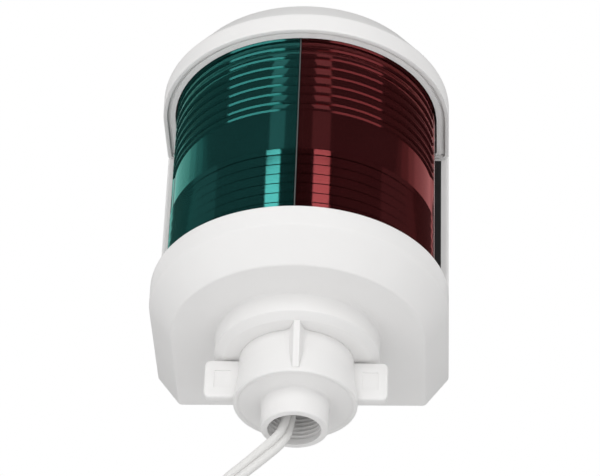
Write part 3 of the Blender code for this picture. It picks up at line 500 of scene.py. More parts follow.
def give(piece, body, slot, *nodes):
    """Let a piece stand for CAD nodes on a body: parent it to the body and hide the nodes."""
    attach(piece, body)
    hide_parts(*nodes)
    return piece


def sweep(name, path, section, first_side, material, turns=None):
    """A section swept along the path; first_side is the section's x direction at its start.

    turns holds an angle for each point of the path, by which the section is rotated there."""
    rings = []
    side = first_side.normalized()
    for i, place in enumerate(path):
        ahead = path[min(i + 1, len(path) - 1)] - path[max(i - 1, 0)]
        ahead.normalize()
        side = (side - ahead * side.dot(ahead)).normalized()
        other = ahead.cross(side)
        turn = turns[i] if turns else 0.0
        rings.append([place + side * (x * math.cos(turn) - y * math.sin(turn))
                      + other * (x * math.sin(turn) + y * math.cos(turn)) for x, y in section])
    return ring_solid(name, rings, material, smooth_angle=50.0)


# --- the cable -------------------------------------------------------------------------------

def smooth_route(points, spacing):
    """Points about spacing apart on a Catmull-Rom curve through the route's own points."""
    padded = [2 * points[0] - points[1]] + list(points) + [2 * points[-1] - points[-2]]
    route = []
    for before, start, end, after in zip(padded, padded[1:], padded[2:], padded[3:]):
        steps = max(2, round((end - start).length / spacing))
        for step in range(steps):
            t = step / steps
            route.append(0.5 * (
                2 * start
                + (end - before) * t
                + (2 * before - 5 * start + 4 * end - after) * t ** 2
                + (3 * start - before - 3 * end + after) * t ** 3))
    route.append(points[-1].copy())
    return route


def ease(value):
    """A smooth step from 0 to 1."""
    value = min(1.0, max(0.0, value))
    return value * value * (3 - 2 * value)


def coil_points():
    """Three turns, two layers deep and two wide, wound outside, inside, across and out again."""
    slots = [(1, -1), (-1, -1), (-1, 1), (1, 1)]
    stay = (COIL_END - COIL_START) / len(slots)
    change = 70.0
    points = []
    count = round((COIL_END - COIL_START) / 5.0)
    for i in range(count + 1):
        angle = COIL_START + (COIL_END - COIL_START) * i / count
        out, aside = slots[0]
        for number, (new_out, new_aside) in enumerate(slots[1:], 1):
            share = ease((angle - COIL_START - stay * number) / change + 0.5)
            out += (new_out - slots[number - 1][0]) * share
            aside += (new_aside - slots[number - 1][1]) * share
        radius = COIL_RADIUS + COIL_STEP_OUT * out
        turn = math.radians(angle)
        points.append(COIL_CENTRE + Vector((COIL_STEP_ASIDE * aside, radius * math.cos(turn),
                                            radius * math.sin(turn))))
    return points


def twin_section():
    """The outline of a flat twin cable: two round cores joined by a narrow web."""
    right = arc(CORE_RADIUS, -168, 168, 16)
    left = arc(CORE_RADIUS, 12, 348, 16)
    return [(x + CORE_RADIUS, y) for x, y in right] + [(x - CORE_RADIUS, y) for x, y in left]


def wire_tip(name, top, tin):
    """Bare stranded wire, hanging from the point top."""
    line = [top - Vector((0.0, 0.0, TIP_LENGTH * step / 24)) for step in range(25)]
    section = []
    for i in range(8 * STRANDS):
        angle = math.tau * i / (8 * STRANDS)
        radius = TIP_RADIUS + STRAND_BULGE * math.cos(STRANDS * angle)
        section.append((radius * math.cos(angle), radius * math.sin(angle)))
    tip = sweep("stranded_" + name, line, section, Vector((1, 0, 0)), tin,
                [STRAND_LAY * i for i in range(len(line))])
    return give(tip, "adaptor", "tinned_copper", name)


def add_cable(sheath, tin, tie_plastic):
    coil = coil_points()
    tail = [coil[-1] - Vector((0.0, 0.0, TAIL_END * step / 10)) for step in range(1, 11)]
    lead_in = CABLE_ROUTE + [(CABLE_ROUTE[-1] + coil[0]) / 2]
    path = smooth_route(lead_in + coil + tail, 1.6 * MM)
    turns = [CABLE_TWIST * ease((place.z - TWIST_LOW) / (TWIST_TOP - TWIST_LOW)) for place in path]
    cable = sweep("twin_cable", path, twin_section(), Vector((1, 0, 0)), sheath, turns)
    give(cable, "adaptor", "cable_white", "power_cable", "cable_coil", "cable_tail")
    tips = [wire_tip(name, path[-1] + Vector((side * CORE_RADIUS, 0.0, TIP_START)), tin)
            for name, side in (("wire_tip_positive", 1), ("wire_tip_negative", -1))]
    tie = cable_tie(tie_plastic)


def cable_tie(material):
    """A strap closed round the top of the coil, with its locking head on the outside."""
    low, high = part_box("coil_tie")
    middle = (low + high) / 2
    strap = 0.8 * MM
    inset = Vector((0.1, 0.4, 0.1)) * MM
    band = block("coil_strap", low + inset, high - inset, material, 0.5 * MM)
    hole = block("coil_strap_hole", (low.x + strap, low.y - 1 * MM, low.z + strap),
                 (high.x - strap, high.y + 1 * MM, high.z - strap), material, 0.3 * MM)
    combine(band, "DIFFERENCE", hole)
    head = block("coil_strap_head", (middle.x - 2.2 * MM, low.y, high.z - 1.0 * MM),
                 (middle.x + 2.2 * MM, high.y, high.z + 1.6 * MM), material, 0.3 * MM)
    combine(band, "UNION", head)
    return give(band, "adaptor", "black_plastic", "coil_tie")


# --- the adaptor -----------------------------------------------------------------------------

THREAD_PITCH = 1.337 * MM
THREAD_DEPTH = 0.9 * MM
THREAD_START = 1.2 * MM
THREAD_END = 13.0 * MM
BORE_RADIUS = 7.48 * MM
BORE_DEPTH = 18.0 * MM
BORE_END = 20.5 * MM
CABLE_HOLE_RADIUS = 4.6 * MM
SPIGOT_RADIUS = 9.4 * MM
HUB_RADIUS = 16.15 * MM
CUP_RADIUS = 17.3 * MM
CUP_RIM = 8.0 * MM
CUP_DEPTH = 0.35 * MM
HUB_TOP = 22.48 * MM
HUB_SWELL = 0.15 * MM
HUB_MIDDLE = 16.7 * MM
CUP_FLARE = 9.3 * MM
CUP_LIP = 1.0 * MM
HUB_HOLLOW_LOW = 11.7 * MM
HUB_HOLLOW_HIGH = 19.8 * MM
HUB_HOLLOW_RADIUS = 13.75 * MM
NECK_RADIUS = 14.4 * MM
NECK_HOLLOW_RADIUS = 12.0 * MM
NECK_TOP = 38.1 * MM
THREAD_ROWS_PER_TURN = 14
THREAD_FIRST_ROW = 5               # the rows below it are the mouth's rounding
THREAD_FULLNESS = 1.45             # how much wider than a plain triangle the thread's roots are
THREAD_CREST = 0.3                 # how much of the pitch its flat crests take
FRONT_RIB_HALF = 0.85 * MM
FRONT_RIB_REACH_LOW = 17.6 * MM
FRONT_RIB_REACH_HIGH = 20.7 * MM
WING_HALF = 1.45 * MM
WING_INNER = 14.8 * MM
WING_OUTER = 25.6 * MM
WING_LOW = 9.6 * MM
WING_HIGH = 21.8 * MM
WING_CORNER = 1.9 * MM
WING_RECESS = ((18.4, 12.8), (22.9, 18.5))    # its inner low and outer high corners, in millimetres
WING_RECESS_DEPTH = 0.3 * MM
ADAPTOR_TURN = math.radians(1.4)
RIB_TURN = math.radians(2.4)


def thread_radius(angle, height):
    """The bore's radius on a helical thread with narrow rounded roots."""
    phase = (height / THREAD_PITCH - angle / math.tau) % 1.0
    cut = min(1.0, max(0.0, THREAD_FULLNESS * (1 - abs(2 * phase - 1)) - THREAD_CREST))
    fade = ease((THREAD_END - height) / (2 * THREAD_PITCH)) * ease((height - THREAD_START) / THREAD_PITCH)
    return BORE_RADIUS + THREAD_DEPTH * cut * fade


def threaded_hub(white):
    """Spigot, cup, hub and neck in one, bored through, with the pole's thread in the spigot."""
    outside = rounded([
        (NECK_RADIUS, NECK_TOP), (NECK_RADIUS, HUB_TOP),
        (HUB_RADIUS, HUB_TOP), (HUB_RADIUS + HUB_SWELL, HUB_MIDDLE), (CUP_RADIUS, CUP_FLARE),
        (CUP_RADIUS, CUP_RIM), (CUP_RADIUS - CUP_LIP, CUP_RIM),
        (CUP_RADIUS - 1.6 * MM, CUP_RIM + CUP_DEPTH),
        (SPIGOT_RADIUS, CUP_RIM + CUP_DEPTH), (SPIGOT_RADIUS, 0.0), (BORE_RADIUS, 0.0),
    ], [m * MM for m in (0.4, 0.2, 0.15, 6.0, 2.5, 0.6, 0.5, 0.5, 0.7, 0.6, 0.5)], closed=False)
    inside = rounded([
        (BORE_RADIUS, THREAD_END), (BORE_RADIUS, BORE_DEPTH), (CABLE_HOLE_RADIUS, BORE_DEPTH),
        (CABLE_HOLE_RADIUS, BORE_END), (SPIGOT_RADIUS, BORE_END), (SPIGOT_RADIUS, HUB_HOLLOW_LOW),
        (HUB_HOLLOW_RADIUS, HUB_HOLLOW_LOW), (HUB_HOLLOW_RADIUS, HUB_HOLLOW_HIGH),
        (NECK_HOLLOW_RADIUS, HUB_TOP), (NECK_HOLLOW_RADIUS, NECK_TOP),
    ], 0.4 * MM, closed=False)
    steps = 120
    rings = [circle(radius, height, steps) for radius, height in outside]
    for row in range(THREAD_FIRST_ROW, round(THREAD_END / THREAD_PITCH * THREAD_ROWS_PER_TURN)):
        height = row * THREAD_PITCH / THREAD_ROWS_PER_TURN
        ring = []
        for i in range(steps):
            angle = math.tau * i / steps
            radius = thread_radius(angle, height)
            ring.append(Vector((radius * math.cos(angle), radius * math.sin(angle), height)))
        rings.append(ring)
    rings += [circle(radius, height, steps) for radius, height in inside]
    return ring_solid("threaded_adaptor", rings, white, wrapped=True, smooth_angle=40.0)


def front_rib(white):
    """The rib on the hub's front, which runs into the hub in a hollow curve on both sides."""
    half = FRONT_RIB_HALF
    rings = []
    for height, reach in ((CUP_RIM + 1.2 * MM, FRONT_RIB_REACH_LOW), (HUB_TOP, FRONT_RIB_REACH_HIGH)):
        depth = reach - HUB_RADIUS
        right = [(half, -reach), (half + 0.55 * MM, -HUB_RADIUS - 0.45 * depth),
                 (half + 1.1 * MM, -HUB_RADIUS - 0.1 * depth), (half + 2.6 * MM, -HUB_RADIUS + 0.35 * MM),
                 (half + 2.6 * MM, -14.6 * MM)]
        outline = rounded(right + [(-x, y) for x, y in reversed(right)],
                          [m * MM for m in (0.35, 0.9, 1.2, 0.1, 0.0, 0.0, 0.1, 1.2, 0.9, 0.35)])
        rings.append([Vector((x, y, height)) for x, y in outline])
    return ring_solid("adaptor_rib", rings, white)


def wing(side, white):
    """A flat grip on the side of the hub, with a shallow recess in its front."""
    inner, outer = side * WING_INNER, side * WING_OUTER
    outline = rounded([(inner, WING_LOW), (outer, WING_LOW), (outer, WING_HIGH), (inner, WING_HIGH)],
                      [0.0, WING_CORNER, WING_CORNER, 0.0], steps=6)
    faces = [[Vector((x, y, z)) for x, z in outline] for y in (-WING_HALF, WING_HALF)]
    plate = ring_solid(f"adaptor_wing{side}", faces, white)
    soften(plate, 0.5 * MM, angle=60.0)
    (near, low), (far, high) = WING_RECESS
    left, right = sorted((side * near * MM, side * far * MM))
    recess = block("wing_recess", (left, -WING_HALF - 2 * MM, low * MM),
                   (right, WING_RECESS_DEPTH - WING_HALF, high * MM), white, 0.12 * MM)
    return combine(plate, "DIFFERENCE", recess)


def mounting_adaptor(white):
    """The hub with its rib and wings, each turned a little as on the real lamp."""
    hub = threaded_hub(white)
    grips = [front_rib(white), wing(-1, white), wing(1, white)]
    for grip, turn in zip(grips, (RIB_TURN, ADAPTOR_TURN, ADAPTOR_TURN)):
        grip.data.transform(Matrix.Rotation(turn, 4, "Z"))
    combine(hub, "UNION", *grips)
    return give(hub, "adaptor", "white_plastic", "mounting_adaptor")


NUT_RADIUS = 19.8 * MM
NUT_HOLE_RADIUS = 14.6 * MM


def lock_nut(black):
    """The hexagonal nut that holds the neck in the base."""
    low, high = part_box("lock_nut")
    nut = slab("hex_nut", rounded(arc(NUT_RADIUS, 0, 300, 5), 1.2 * MM), low.z, high.z, black)
    start, end = low.z - 1 * MM, high.z + 1 * MM
    hole = turned("hex_nut_hole", [(0.2 * MM, start), (NUT_HOLE_RADIUS, start),
                                   (NUT_HOLE_RADIUS, end), (0.2 * MM, end)], black, wrapped=False)
    combine(nut, "DIFFERENCE", hole)
    soften(nut, 0.35 * MM, angle=50.0)
    return give(nut, "adaptor", "black_plastic", "lock_nut")


GROMMET_FLANGE_LOW = 20.8 * MM
GROMMET_BODY_RADIUS = 4.3 * MM
GROMMET_HOLE_RADIUS = 2.7 * MM


def cable_grommet(rubber):
    """The flanged rubber bush in the cable hole."""
    low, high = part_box("cable_grommet")
    radius = (high.x - low.x) / 2
    bush = turned("rubber_grommet", rounded([
        (radius, high.z), (radius, GROMMET_FLANGE_LOW), (GROMMET_BODY_RADIUS, GROMMET_FLANGE_LOW),
        (GROMMET_BODY_RADIUS, low.z), (GROMMET_HOLE_RADIUS, low.z), (GROMMET_HOLE_RADIUS, high.z)],
        0.4 * MM), rubber, 64)
    return give(bush, "adaptor", "seal_rubber", "cable_grommet")


# --- base and back ---------------------------------------------------------------------------

BOSS_FACE = 22.5 * MM
BOSS_LIP = 24.0 * MM
BOSS_RADIUS = 23.2 * MM
BOSS_FOOT = 1.6 * MM               # the hollow rounding where the boss meets the underside
BOSS_LIP_WIDTH = 2.7 * MM
NECK_HOLE_RADIUS = 14.8 * MM
TRAY_INSIDE = 34.5 * MM
TRAY_INSIDE_BACK = 27.3 * MM
PLATE_HOLE_LOW = 34.2 * MM
FOOT_POCKET_HALF_WIDTH = 33.0 * MM
FOOT_POCKET_LOW = 38.0 * MM
FOOT_POCKET_HIGH = 43.1 * MM
PLATE_BOSS_LOW = 95.7 * MM
PLATE_BOSS_RADIUS = 3.2 * MM
PLATE_RIB_HALF = 1.2 * MM
PLATE_CORNER = 1.4 * MM
PLATE_TOP = CAP_LOW + 1.5 * MM     # stands a little way up behind the cap's rim


def base_tray(white):
    """The tray that carries the lens, with a bevelled underside and the round boss for the neck."""
    profile = rounded([
        (34.4 * MM, 31.8 * MM, BASE_UNDERSIDE), (HALF_WIDTH - RIM_BEVEL, BASE_BACK, BASE_UNDERSIDE),
        (HALF_WIDTH, BASE_BACK, BASE_RIM_LOW), (HALF_WIDTH, BASE_BACK, BASE_HIGH),
        (HALF_WIDTH - WALL, BASE_BACK - WALL, BASE_HIGH), (HALF_WIDTH - WALL, BASE_BACK - WALL, SEAL_LEDGE),
        (TRAY_INSIDE, TRAY_INSIDE_BACK, SEAL_LEDGE), (TRAY_INSIDE, TRAY_INSIDE_BACK, BASE_UNDERSIDE + WALL),
        (32.0 * MM, 24.0 * MM, BASE_UNDERSIDE + WALL),
    ], [0.0, 1.0 * MM, RIM_ROUNDING] + [m * MM for m in (0.5, 0.4, 0.3, 0.4, 0.8)] + [0.0], closed=False)
    tray = d_solid("base_tray", profile, white)
    foot = BOSS_RADIUS + BOSS_FOOT
    sunk = BASE_UNDERSIDE + 1 * MM
    level = BASE_UNDERSIDE - 0.02 * MM
    boss = turned("round_boss", rounded([
        (0.5 * MM, sunk), (foot, sunk), (foot, level), (BOSS_RADIUS, level), (BOSS_RADIUS, BOSS_LIP),
        (BOSS_RADIUS - BOSS_LIP_WIDTH, BOSS_FACE), (0.5 * MM, BOSS_FACE)],
        [0.0, 0.0, 0.0, BOSS_FOOT, 0.5 * MM, 0.7 * MM, 0.0], closed=False), white, 128, wrapped=False)
    combine(tray, "UNION", boss)
    start, end = BASE_UNDERSIDE + 4 * MM, BOSS_FACE - 3.5 * MM
    hole = turned("neck_hole", [(0.2 * MM, start), (NECK_HOLE_RADIUS, start), (NECK_HOLE_RADIUS, end),
                                (0.2 * MM, end)], white, 128, wrapped=False)
    holes = [rod(f"plate_hole{side}", (side * PLATE_SCREW_X, PLATE_SCREW_Y, PLATE_HOLE_LOW),
                 (side * PLATE_SCREW_X, PLATE_SCREW_Y, BASE_HIGH + WALL), SCREW_HOLE_RADIUS, white)
             for side in (-1, 1)]
    combine(tray, "DIFFERENCE", hole, *holes)
    return give(tray, "lamp", "white_plastic", "base")


def back_plate(white):
    """The rear wall, with a foot that closes the base and two bosses for the cap's screws."""
    high = CAP_LOW - CLEARANCE
    front = PLATE_FRONT
    outline = rounded([(-HALF_WIDTH, front), (HALF_WIDTH, front), (HALF_WIDTH, PLATE_BACK),
                       (-HALF_WIDTH, PLATE_BACK)], [PLATE_CORNER, PLATE_CORNER, 0.5 * MM, 0.5 * MM])
    plate = slab("rear_plate", outline, BASE_HIGH + CLEARANCE, PLATE_TOP, white)
    side = HALF_WIDTH - WALL - CLEARANCE
    back = BASE_BACK - WALL - CLEARANCE
    foot = block("rear_foot", (-side, front, SEAL_LEDGE + CLEARANCE), (side, back, BASE_HIGH), white,
                 0.5 * MM)
    tongue = block("rear_tongue", (-side, front, BASE_HIGH - WALL),
                   (side, PLATE_BACK, BASE_HIGH + WALL), white)
    pocket = block("rear_pocket", (-FOOT_POCKET_HALF_WIDTH, front + WALL, FOOT_POCKET_LOW),
                   (FOOT_POCKET_HALF_WIDTH, back - WALL, FOOT_POCKET_HIGH), white)
    additions = [foot, tongue]
    holes = [pocket]
    for end in (-1, 1):
        x, y = end * CAP_SCREW_X, CAP_SCREW_Y
        additions.append(rod(f"rear_boss{end}", (x, y, PLATE_BOSS_LOW), (x, y, high),
                             PLATE_BOSS_RADIUS, white))
        additions.append(block(f"rear_rib{end}", (x - PLATE_RIB_HALF, y + 2 * MM, PLATE_BOSS_LOW),
                               (x + PLATE_RIB_HALF, front + 1 * MM, high), white))
        holes.append(rod(f"rear_boss_hole{end}", (x, y, PLATE_BOSS_LOW + 2.5 * MM), (x, y, high + WALL),
                         SCREW_HOLE_RADIUS, white))
        x, y = end * PLATE_SCREW_X, PLATE_SCREW_Y
        holes.append(rod(f"rear_foot_hole{end}", (x, y, FOOT_POCKET_LOW), (x, y, BASE_HIGH + WALL),
                         SCREW_HOLE_RADIUS, white))
    combine(plate, "UNION", *additions)
    combine(plate, "DIFFERENCE", *holes)
    return give(plate, "lamp", "white_plastic", "back_plate")


# --- hood ------------------------------------------------------------------------------------

RIB_PITCH = 3.32 * MM
UPPER_RIB_LOW = BELT_HIGH + 2.6 * MM
LOWER_RIB_HIGH = BELT_LOW - 2.3 * MM
RIB_DEPTH = 0.5 * MM
LEDGE = 0.38 * MM
GROOVE = 0.5 * MM
GROOVE_DEPTH = 1.3 * MM
LOWER_SLOPE = 0.15
BELT_INSET = 0.5 * MM
RIB_START_FADE = 77.0
RIB_END = 84.0
FLANGE_INSET = 0.1 * MM
LEAST_RIB = 1.2 * MM               # no rib starts closer than this to the lens's ends
NOSE = 0.03 * MM                   # how far the ribs' edges lie inside the lens's radius
EDGE = 0.06 * MM
SEAM_HALF = 0.25 * MM
SEAM_STRIP_HALF = 0.16 * MM
SEAM_STRIP_DEPTH = 1.3 * MM
VANE_BACK = -21.5 * MM
LENS_STEPS = 64
FLANGE_STEPS = 6
FLANGE_STEP_IN = 0.25              # degrees between the last rib and the plain flange


def rib_profile():
    """(height, inset) rows of the ribbed face, from the top down.

    The ribs above the belt lean back over a slanted ledge, and those below it tuck under, with a
    narrow groove between them."""
    upper = [BELT_HIGH]
    height = UPPER_RIB_LOW
    while height < LENS_TOP - LEAST_RIB:
        upper.append(height)
        height += RIB_PITCH
    rows = [(LENS_TOP, RIB_DEPTH)]
    for low in reversed(upper):
        rows += [(low + 0.25 * MM, NOSE), (low + EDGE, NOSE), (low - LEDGE + EDGE, RIB_DEPTH)]
    rows += [(BELT_LOW + 0.3 * MM, BELT_INSET)]
    lower = [BELT_LOW]
    height = LOWER_RIB_HIGH
    while height > LENS_BOTTOM + LEAST_RIB:
        lower.append(height)
        height -= RIB_PITCH
    for high, low in zip(lower, lower[1:] + [LENS_BOTTOM]):
        rows += [(high - 0.04 * MM, 0.08 * MM), (high - 0.14 * MM, NOSE)]
        if low > LENS_BOTTOM:
            face = NOSE + (high - low - GROOVE) * LOWER_SLOPE
            rows += [(low + GROOVE, face), (low + GROOVE - 0.02 * MM, GROOVE_DEPTH), (low, GROOVE_DEPTH)]
    rows.append((LENS_BOTTOM, RIB_DEPTH))
    return rows


def lens_half(name, side, material, node, slot):
    """One colour's half: ribbed from the seam round to the side, then a plain flange to the back."""
    start = -90 + math.degrees(math.asin(SEAM_HALF / LENS_RADIUS))
    angles = [start + (RIB_END - 90 - start) * i / LENS_STEPS for i in range(LENS_STEPS + 1)]
    flange = [RIB_END - 90 + FLANGE_STEP_IN + (90 - RIB_END - FLANGE_STEP_IN) * i / FLANGE_STEPS
              for i in range(FLANGE_STEPS + 1)]
    rows = rib_profile()
    rings = []
    for angle in angles + flange + [None, None]:
        outer = []
        plain = 1.0 if angle is None else ease((angle + 90 - RIB_START_FADE) / (RIB_END - RIB_START_FADE))
        for height, inset in rows:
            outer.append((LENS_RADIUS - inset * (1 - plain) - FLANGE_INSET * plain, height))
        ring = []
        for radius, height in outer + [(LENS_INNER, LENS_BOTTOM), (LENS_INNER, LENS_TOP)]:
            if angle is None:
                ring.append((radius, height))
            else:
                turn = math.radians(angle)
                ring.append(Vector((side * radius * math.cos(turn), radius * math.sin(turn), height)))
        rings.append(ring)
    for place, back in ((-2, LENS_BACK / 2), (-1, LENS_BACK)):
        rings[place] = [Vector((side * radius, back, height)) for radius, height in rings[place]]
    lens = ring_solid(name, rings, material, smooth_angle=25.0)
    return give(lens, "hood", slot, node)


def sector_divider(edge, vane):
    """The vane between the colours: black inside, with a pale front edge that shows as the seam."""
    low = LENS_BOTTOM + CLEARANCE
    plate = block("sector_vane", (-SEAM_HALF, SEAM_STRIP_DEPTH + 0.1 * MM - LENS_RADIUS, low),
                  (SEAM_HALF, VANE_BACK, LENS_TOP), vane)
    give(plate, "hood", "black_plastic", "sector_divider")
    strip = block("seam_strip", (-SEAM_STRIP_HALF, -LENS_RADIUS, low),
                  (SEAM_STRIP_HALF, SEAM_STRIP_DEPTH - LENS_RADIUS, LENS_TOP), edge)
    soften(strip, 0.06 * MM, 2)
    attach(strip, "hood")


CAP_GROOVE_OUTER = HALF_WIDTH - 1.2 * MM
CAP_GROOVE_INNER = LENS_RADIUS + 1.9 * MM
CAP_GROOVE_TOP = CAP_LOW + 1.0 * MM
CAP_SEAT = 114.0 * MM
CAP_INSIDE = 32.5 * MM
CAP_INSIDE_BACK = 12.5 * MM
CAP_CEILING = 121.1 * MM
CAP_PILLAR_RADIUS = 3.9 * MM
CAP_HOLE_LOW = 100.0 * MM
SCREW_RECESS_RADIUS = 3.1 * MM
SCREW_RECESS_DEPTH = 2.2 * MM


def top_cap(white):
    """The cap: bevelled on top, with a groove and a sloping lip round the lens underneath."""
    lip = LENS_RADIUS + CLEARANCE
    lip_back = CAP_BACK - WALL
    outer_back = CAP_BACK - 0.9 * MM
    inner_back = CAP_BACK - 1.6 * MM
    cap = d_solid("cap_shell", rounded([
        (33.5 * MM, 15.0 * MM, CAP_HIGH), (HALF_WIDTH - RIM_BEVEL, CAP_BACK, CAP_HIGH),
        (HALF_WIDTH, CAP_BACK, CAP_RIM_TOP), (HALF_WIDTH, CAP_BACK, CAP_LOW + 0.25 * MM),
        (CAP_GROOVE_OUTER, outer_back, CAP_LOW), (CAP_GROOVE_OUTER, outer_back, CAP_GROOVE_TOP),
        (CAP_GROOVE_INNER, inner_back, CAP_GROOVE_TOP), (CAP_GROOVE_INNER, inner_back, CAP_LOW + 0.5 * MM),
        (lip, lip_back, CAP_LOW), (lip, lip_back, CAP_SEAT), (CAP_INSIDE, CAP_INSIDE_BACK, CAP_SEAT),
        (CAP_INSIDE, CAP_INSIDE_BACK, CAP_CEILING), (30 * MM, 10 * MM, CAP_CEILING),
    ], [0.0, 1.0 * MM, RIM_ROUNDING] + [m * MM for m in (0.4, 0.15, 0.1, 0.1, 0.15, 0.2, 0.3, 0.3, 0.8)]
       + [0.0], closed=False), white)
    pillars = []
    holes = []
    for end in (-1, 1):
        x, y = end * CAP_SCREW_X, CAP_SCREW_Y
        above = CAP_HIGH + 6.5 * MM
        pillars.append(rod(f"cap_pillar{end}", (x, y, CAP_LOW + CLEARANCE), (x, y, CAP_HIGH - 1 * MM),
                           CAP_PILLAR_RADIUS, white))
        holes.append(rod(f"cap_hole{end}", (x, y, CAP_HOLE_LOW), (x, y, above), SCREW_HOLE_RADIUS, white))
        holes.append(rod(f"cap_recess{end}", (x, y, CAP_HIGH - SCREW_RECESS_DEPTH), (x, y, above),
                         SCREW_RECESS_RADIUS, white))
    combine(cap, "UNION", *pillars)
    combine(cap, "DIFFERENCE", *holes)
    return give(cap, "hood", "white_plastic", "top_cap")


def seals(rubber):
    """The rubber bands under and over the lens."""
    for name, node, body, inset, width in (
            ("lower_gasket", "lower_lens_seal", "lamp", 0.0, 3.0 * MM),
            ("upper_gasket", "upper_lens_seal", "hood", 0.2 * MM, 2.4 * MM)):
        low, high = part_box(node)
        outer = LENS_RADIUS - inset
        gasket = slab(name, u_outline(outer, outer - width, LENS_BACK), low.z, high.z, rubber, 0.3 * MM)
        give(gasket, body, "seal_rubber", node)


# --- small metal parts and the bulb ----------------------------------------------------------

SCREW_HEAD = 1.6 * MM
SCREW_CREST = 1.35 * MM
SCREW_ROOT = 1.1 * MM
SCREW_POINT = 0.9 * MM
SCREW_PITCH = 0.9 * MM


def pan_screw(node, body, head_centre, direction, steel):
    """A pan-head screw with a slot; its length comes from the node's box."""
    low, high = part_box(node)
    direction = Vector(direction)
    axis = max(range(3), key=lambda i: abs(direction[i]))
    reach = high[axis] - low[axis]
    head_radius = min((high[i] - low[i]) / 2 for i in range(3) if i != axis)
    profile = rounded([(0.05 * MM, SCREW_HEAD), (head_radius * 0.75, SCREW_HEAD),
                       (head_radius, SCREW_HEAD * 0.35), (head_radius, 0.0), (SCREW_CREST, 0.0)],
                      [0.0, 0.8 * MM, 0.7 * MM, 0.15 * MM, 0.1 * MM], closed=False)
    turns = int((reach - SCREW_HEAD) / SCREW_PITCH) - 1
    for turn in range(turns):
        depth = -(turn + 0.6) * SCREW_PITCH
        profile += [Vector((SCREW_ROOT, depth)), Vector((SCREW_CREST, depth - 0.35 * MM)),
                    Vector((SCREW_ROOT, depth - 0.7 * MM))]
    profile += [Vector((SCREW_POINT, SCREW_HEAD - reach + 0.5 * MM)), Vector((0.05 * MM, SCREW_HEAD - reach))]
    screw = turned("screw_" + node, profile, steel, 48, wrapped=False)
    slot = block("slot_" + node, (-head_radius * 0.75, -0.35 * MM, SCREW_HEAD - 0.8 * MM),
                 (head_radius * 0.75, 0.35 * MM, SCREW_HEAD + 1 * MM), steel)
    combine(screw, "DIFFERENCE", slot)
    turn = Vector((0, 0, -1)).rotation_difference(direction).to_matrix().to_4x4()
    screw.data.transform(Matrix.Translation(head_centre) @ turn)
    return give(screw, body, "screw_steel", node)


def screws(steel):
    down = (0, 0, -1)
    for side, name in ((-1, "left"), (1, "right")):
        cap_place = Vector((side * CAP_SCREW_X, CAP_SCREW_Y, CAP_HIGH - 1.9 * MM))
        pan_screw(f"cap_screw_{name}", "hood", cap_place, down, steel)
        plate_place = Vector((side * PLATE_SCREW_X, PLATE_SCREW_Y, BASE_HIGH + CLEARANCE))
        pan_screw(f"plate_screw_{name}", "lamp", plate_place, down, steel)
    for name in ("lower", "upper"):
        low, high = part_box(f"holder_screw_{name}")
        place = Vector((0.0, low.y + SCREW_HEAD, (low.z + high.z) / 2))
        pan_screw(f"holder_screw_{name}", "lamp", place, (0, 1, 0), steel)


BULB_RADIUS = 7.5 * MM
BULB_NECK_RADIUS = 3.6 * MM
BULB_NECK_END = 15.5 * MM          # this and the heights below are from the bulb's centre
GLASS_WALL = 0.8 * MM
BULB_CAP_RADIUS = 4.6 * MM
BULB_CAP_LOW = 13.4 * MM
BULB_CAP_TIP = 21.5 * MM
FILAMENT_TURNS = 26
FILAMENT_STEPS = 10                # points for each turn
FILAMENT_RADIUS = 0.35 * MM
FILAMENT_BOW = 1.0 * MM
FILAMENT_HALF = 7.0 * MM
FILAMENT_POST = 9.0 * MM
FILAMENT_END = 15.6 * MM
FILAMENT_WIRE_RADIUS = 0.09 * MM


def bulb(glass, cap_metal, tungsten):
    """A festoon bulb: a glass tube between two pointed caps, with a coiled filament."""
    z = BULB_CENTRE
    half = rounded([(BULB_NECK_RADIUS, BULB_NECK_END), (BULB_NECK_RADIUS, 13.0 * MM),
                    (BULB_RADIUS - 0.9 * MM, 11.6 * MM), (BULB_RADIUS, 8.0 * MM), (BULB_RADIUS, 0.0)],
                   [0.0, 1.5 * MM, 3.0 * MM, 6.0 * MM, 0.0], steps=6, closed=False)
    outer = half + [Vector((r, -h)) for r, h in reversed(half[:-1])]
    inner = [Vector((r - GLASS_WALL, h)) for r, h in reversed(outer)]
    envelope = turned("festoon_glass", [(r, z + h) for r, h in outer + inner], glass, 64)
    give(envelope, "bulb", "bulb_glass_clear", "bulb_glass")
    for name, side in (("upper", 1), ("lower", -1)):
        profile = rounded([(0.05 * MM, BULB_CAP_TIP), (1.2 * MM, BULB_CAP_TIP), (3.6 * MM, 18.1 * MM),
                           (BULB_CAP_RADIUS, 17.3 * MM), (BULB_CAP_RADIUS, BULB_CAP_LOW),
                           (3.9 * MM, BULB_CAP_LOW), (3.9 * MM, 16.2 * MM), (0.05 * MM, 16.2 * MM)],
                          [0.0] + [m * MM for m in (0.8, 0.6, 0.8, 0.2, 0.1, 0.2)] + [0.0], closed=False)
        cap = turned("festoon_cap_" + name, [(r, z + side * h) for r, h in profile], cap_metal, 64,
                     wrapped=False)
        give(cap, "bulb", "bulb_cap_metal", "bulb_cap_" + name)
    path = [Vector((0, 0, z - FILAMENT_END)), Vector((0, 0, z - FILAMENT_POST))]
    count = FILAMENT_TURNS * FILAMENT_STEPS
    for i in range(count + 1):
        along = 2 * i / count - 1
        angle = math.tau * i / FILAMENT_STEPS
        path.append(Vector((FILAMENT_BOW * (1 - along ** 2) + FILAMENT_RADIUS * math.cos(angle),
                            FILAMENT_RADIUS * math.sin(angle), z + FILAMENT_HALF * along)))
    path += [Vector((0, 0, z + FILAMENT_POST)), Vector((0, 0, z + FILAMENT_END))]
    wire = arc(FILAMENT_WIRE_RADIUS, 0, 315, 7)
    coil = sweep("coiled_filament", path, wire, Vector((1, 0, 0)), tungsten)
    give(coil, "bulb", "filament_tungsten", "bulb_filament")


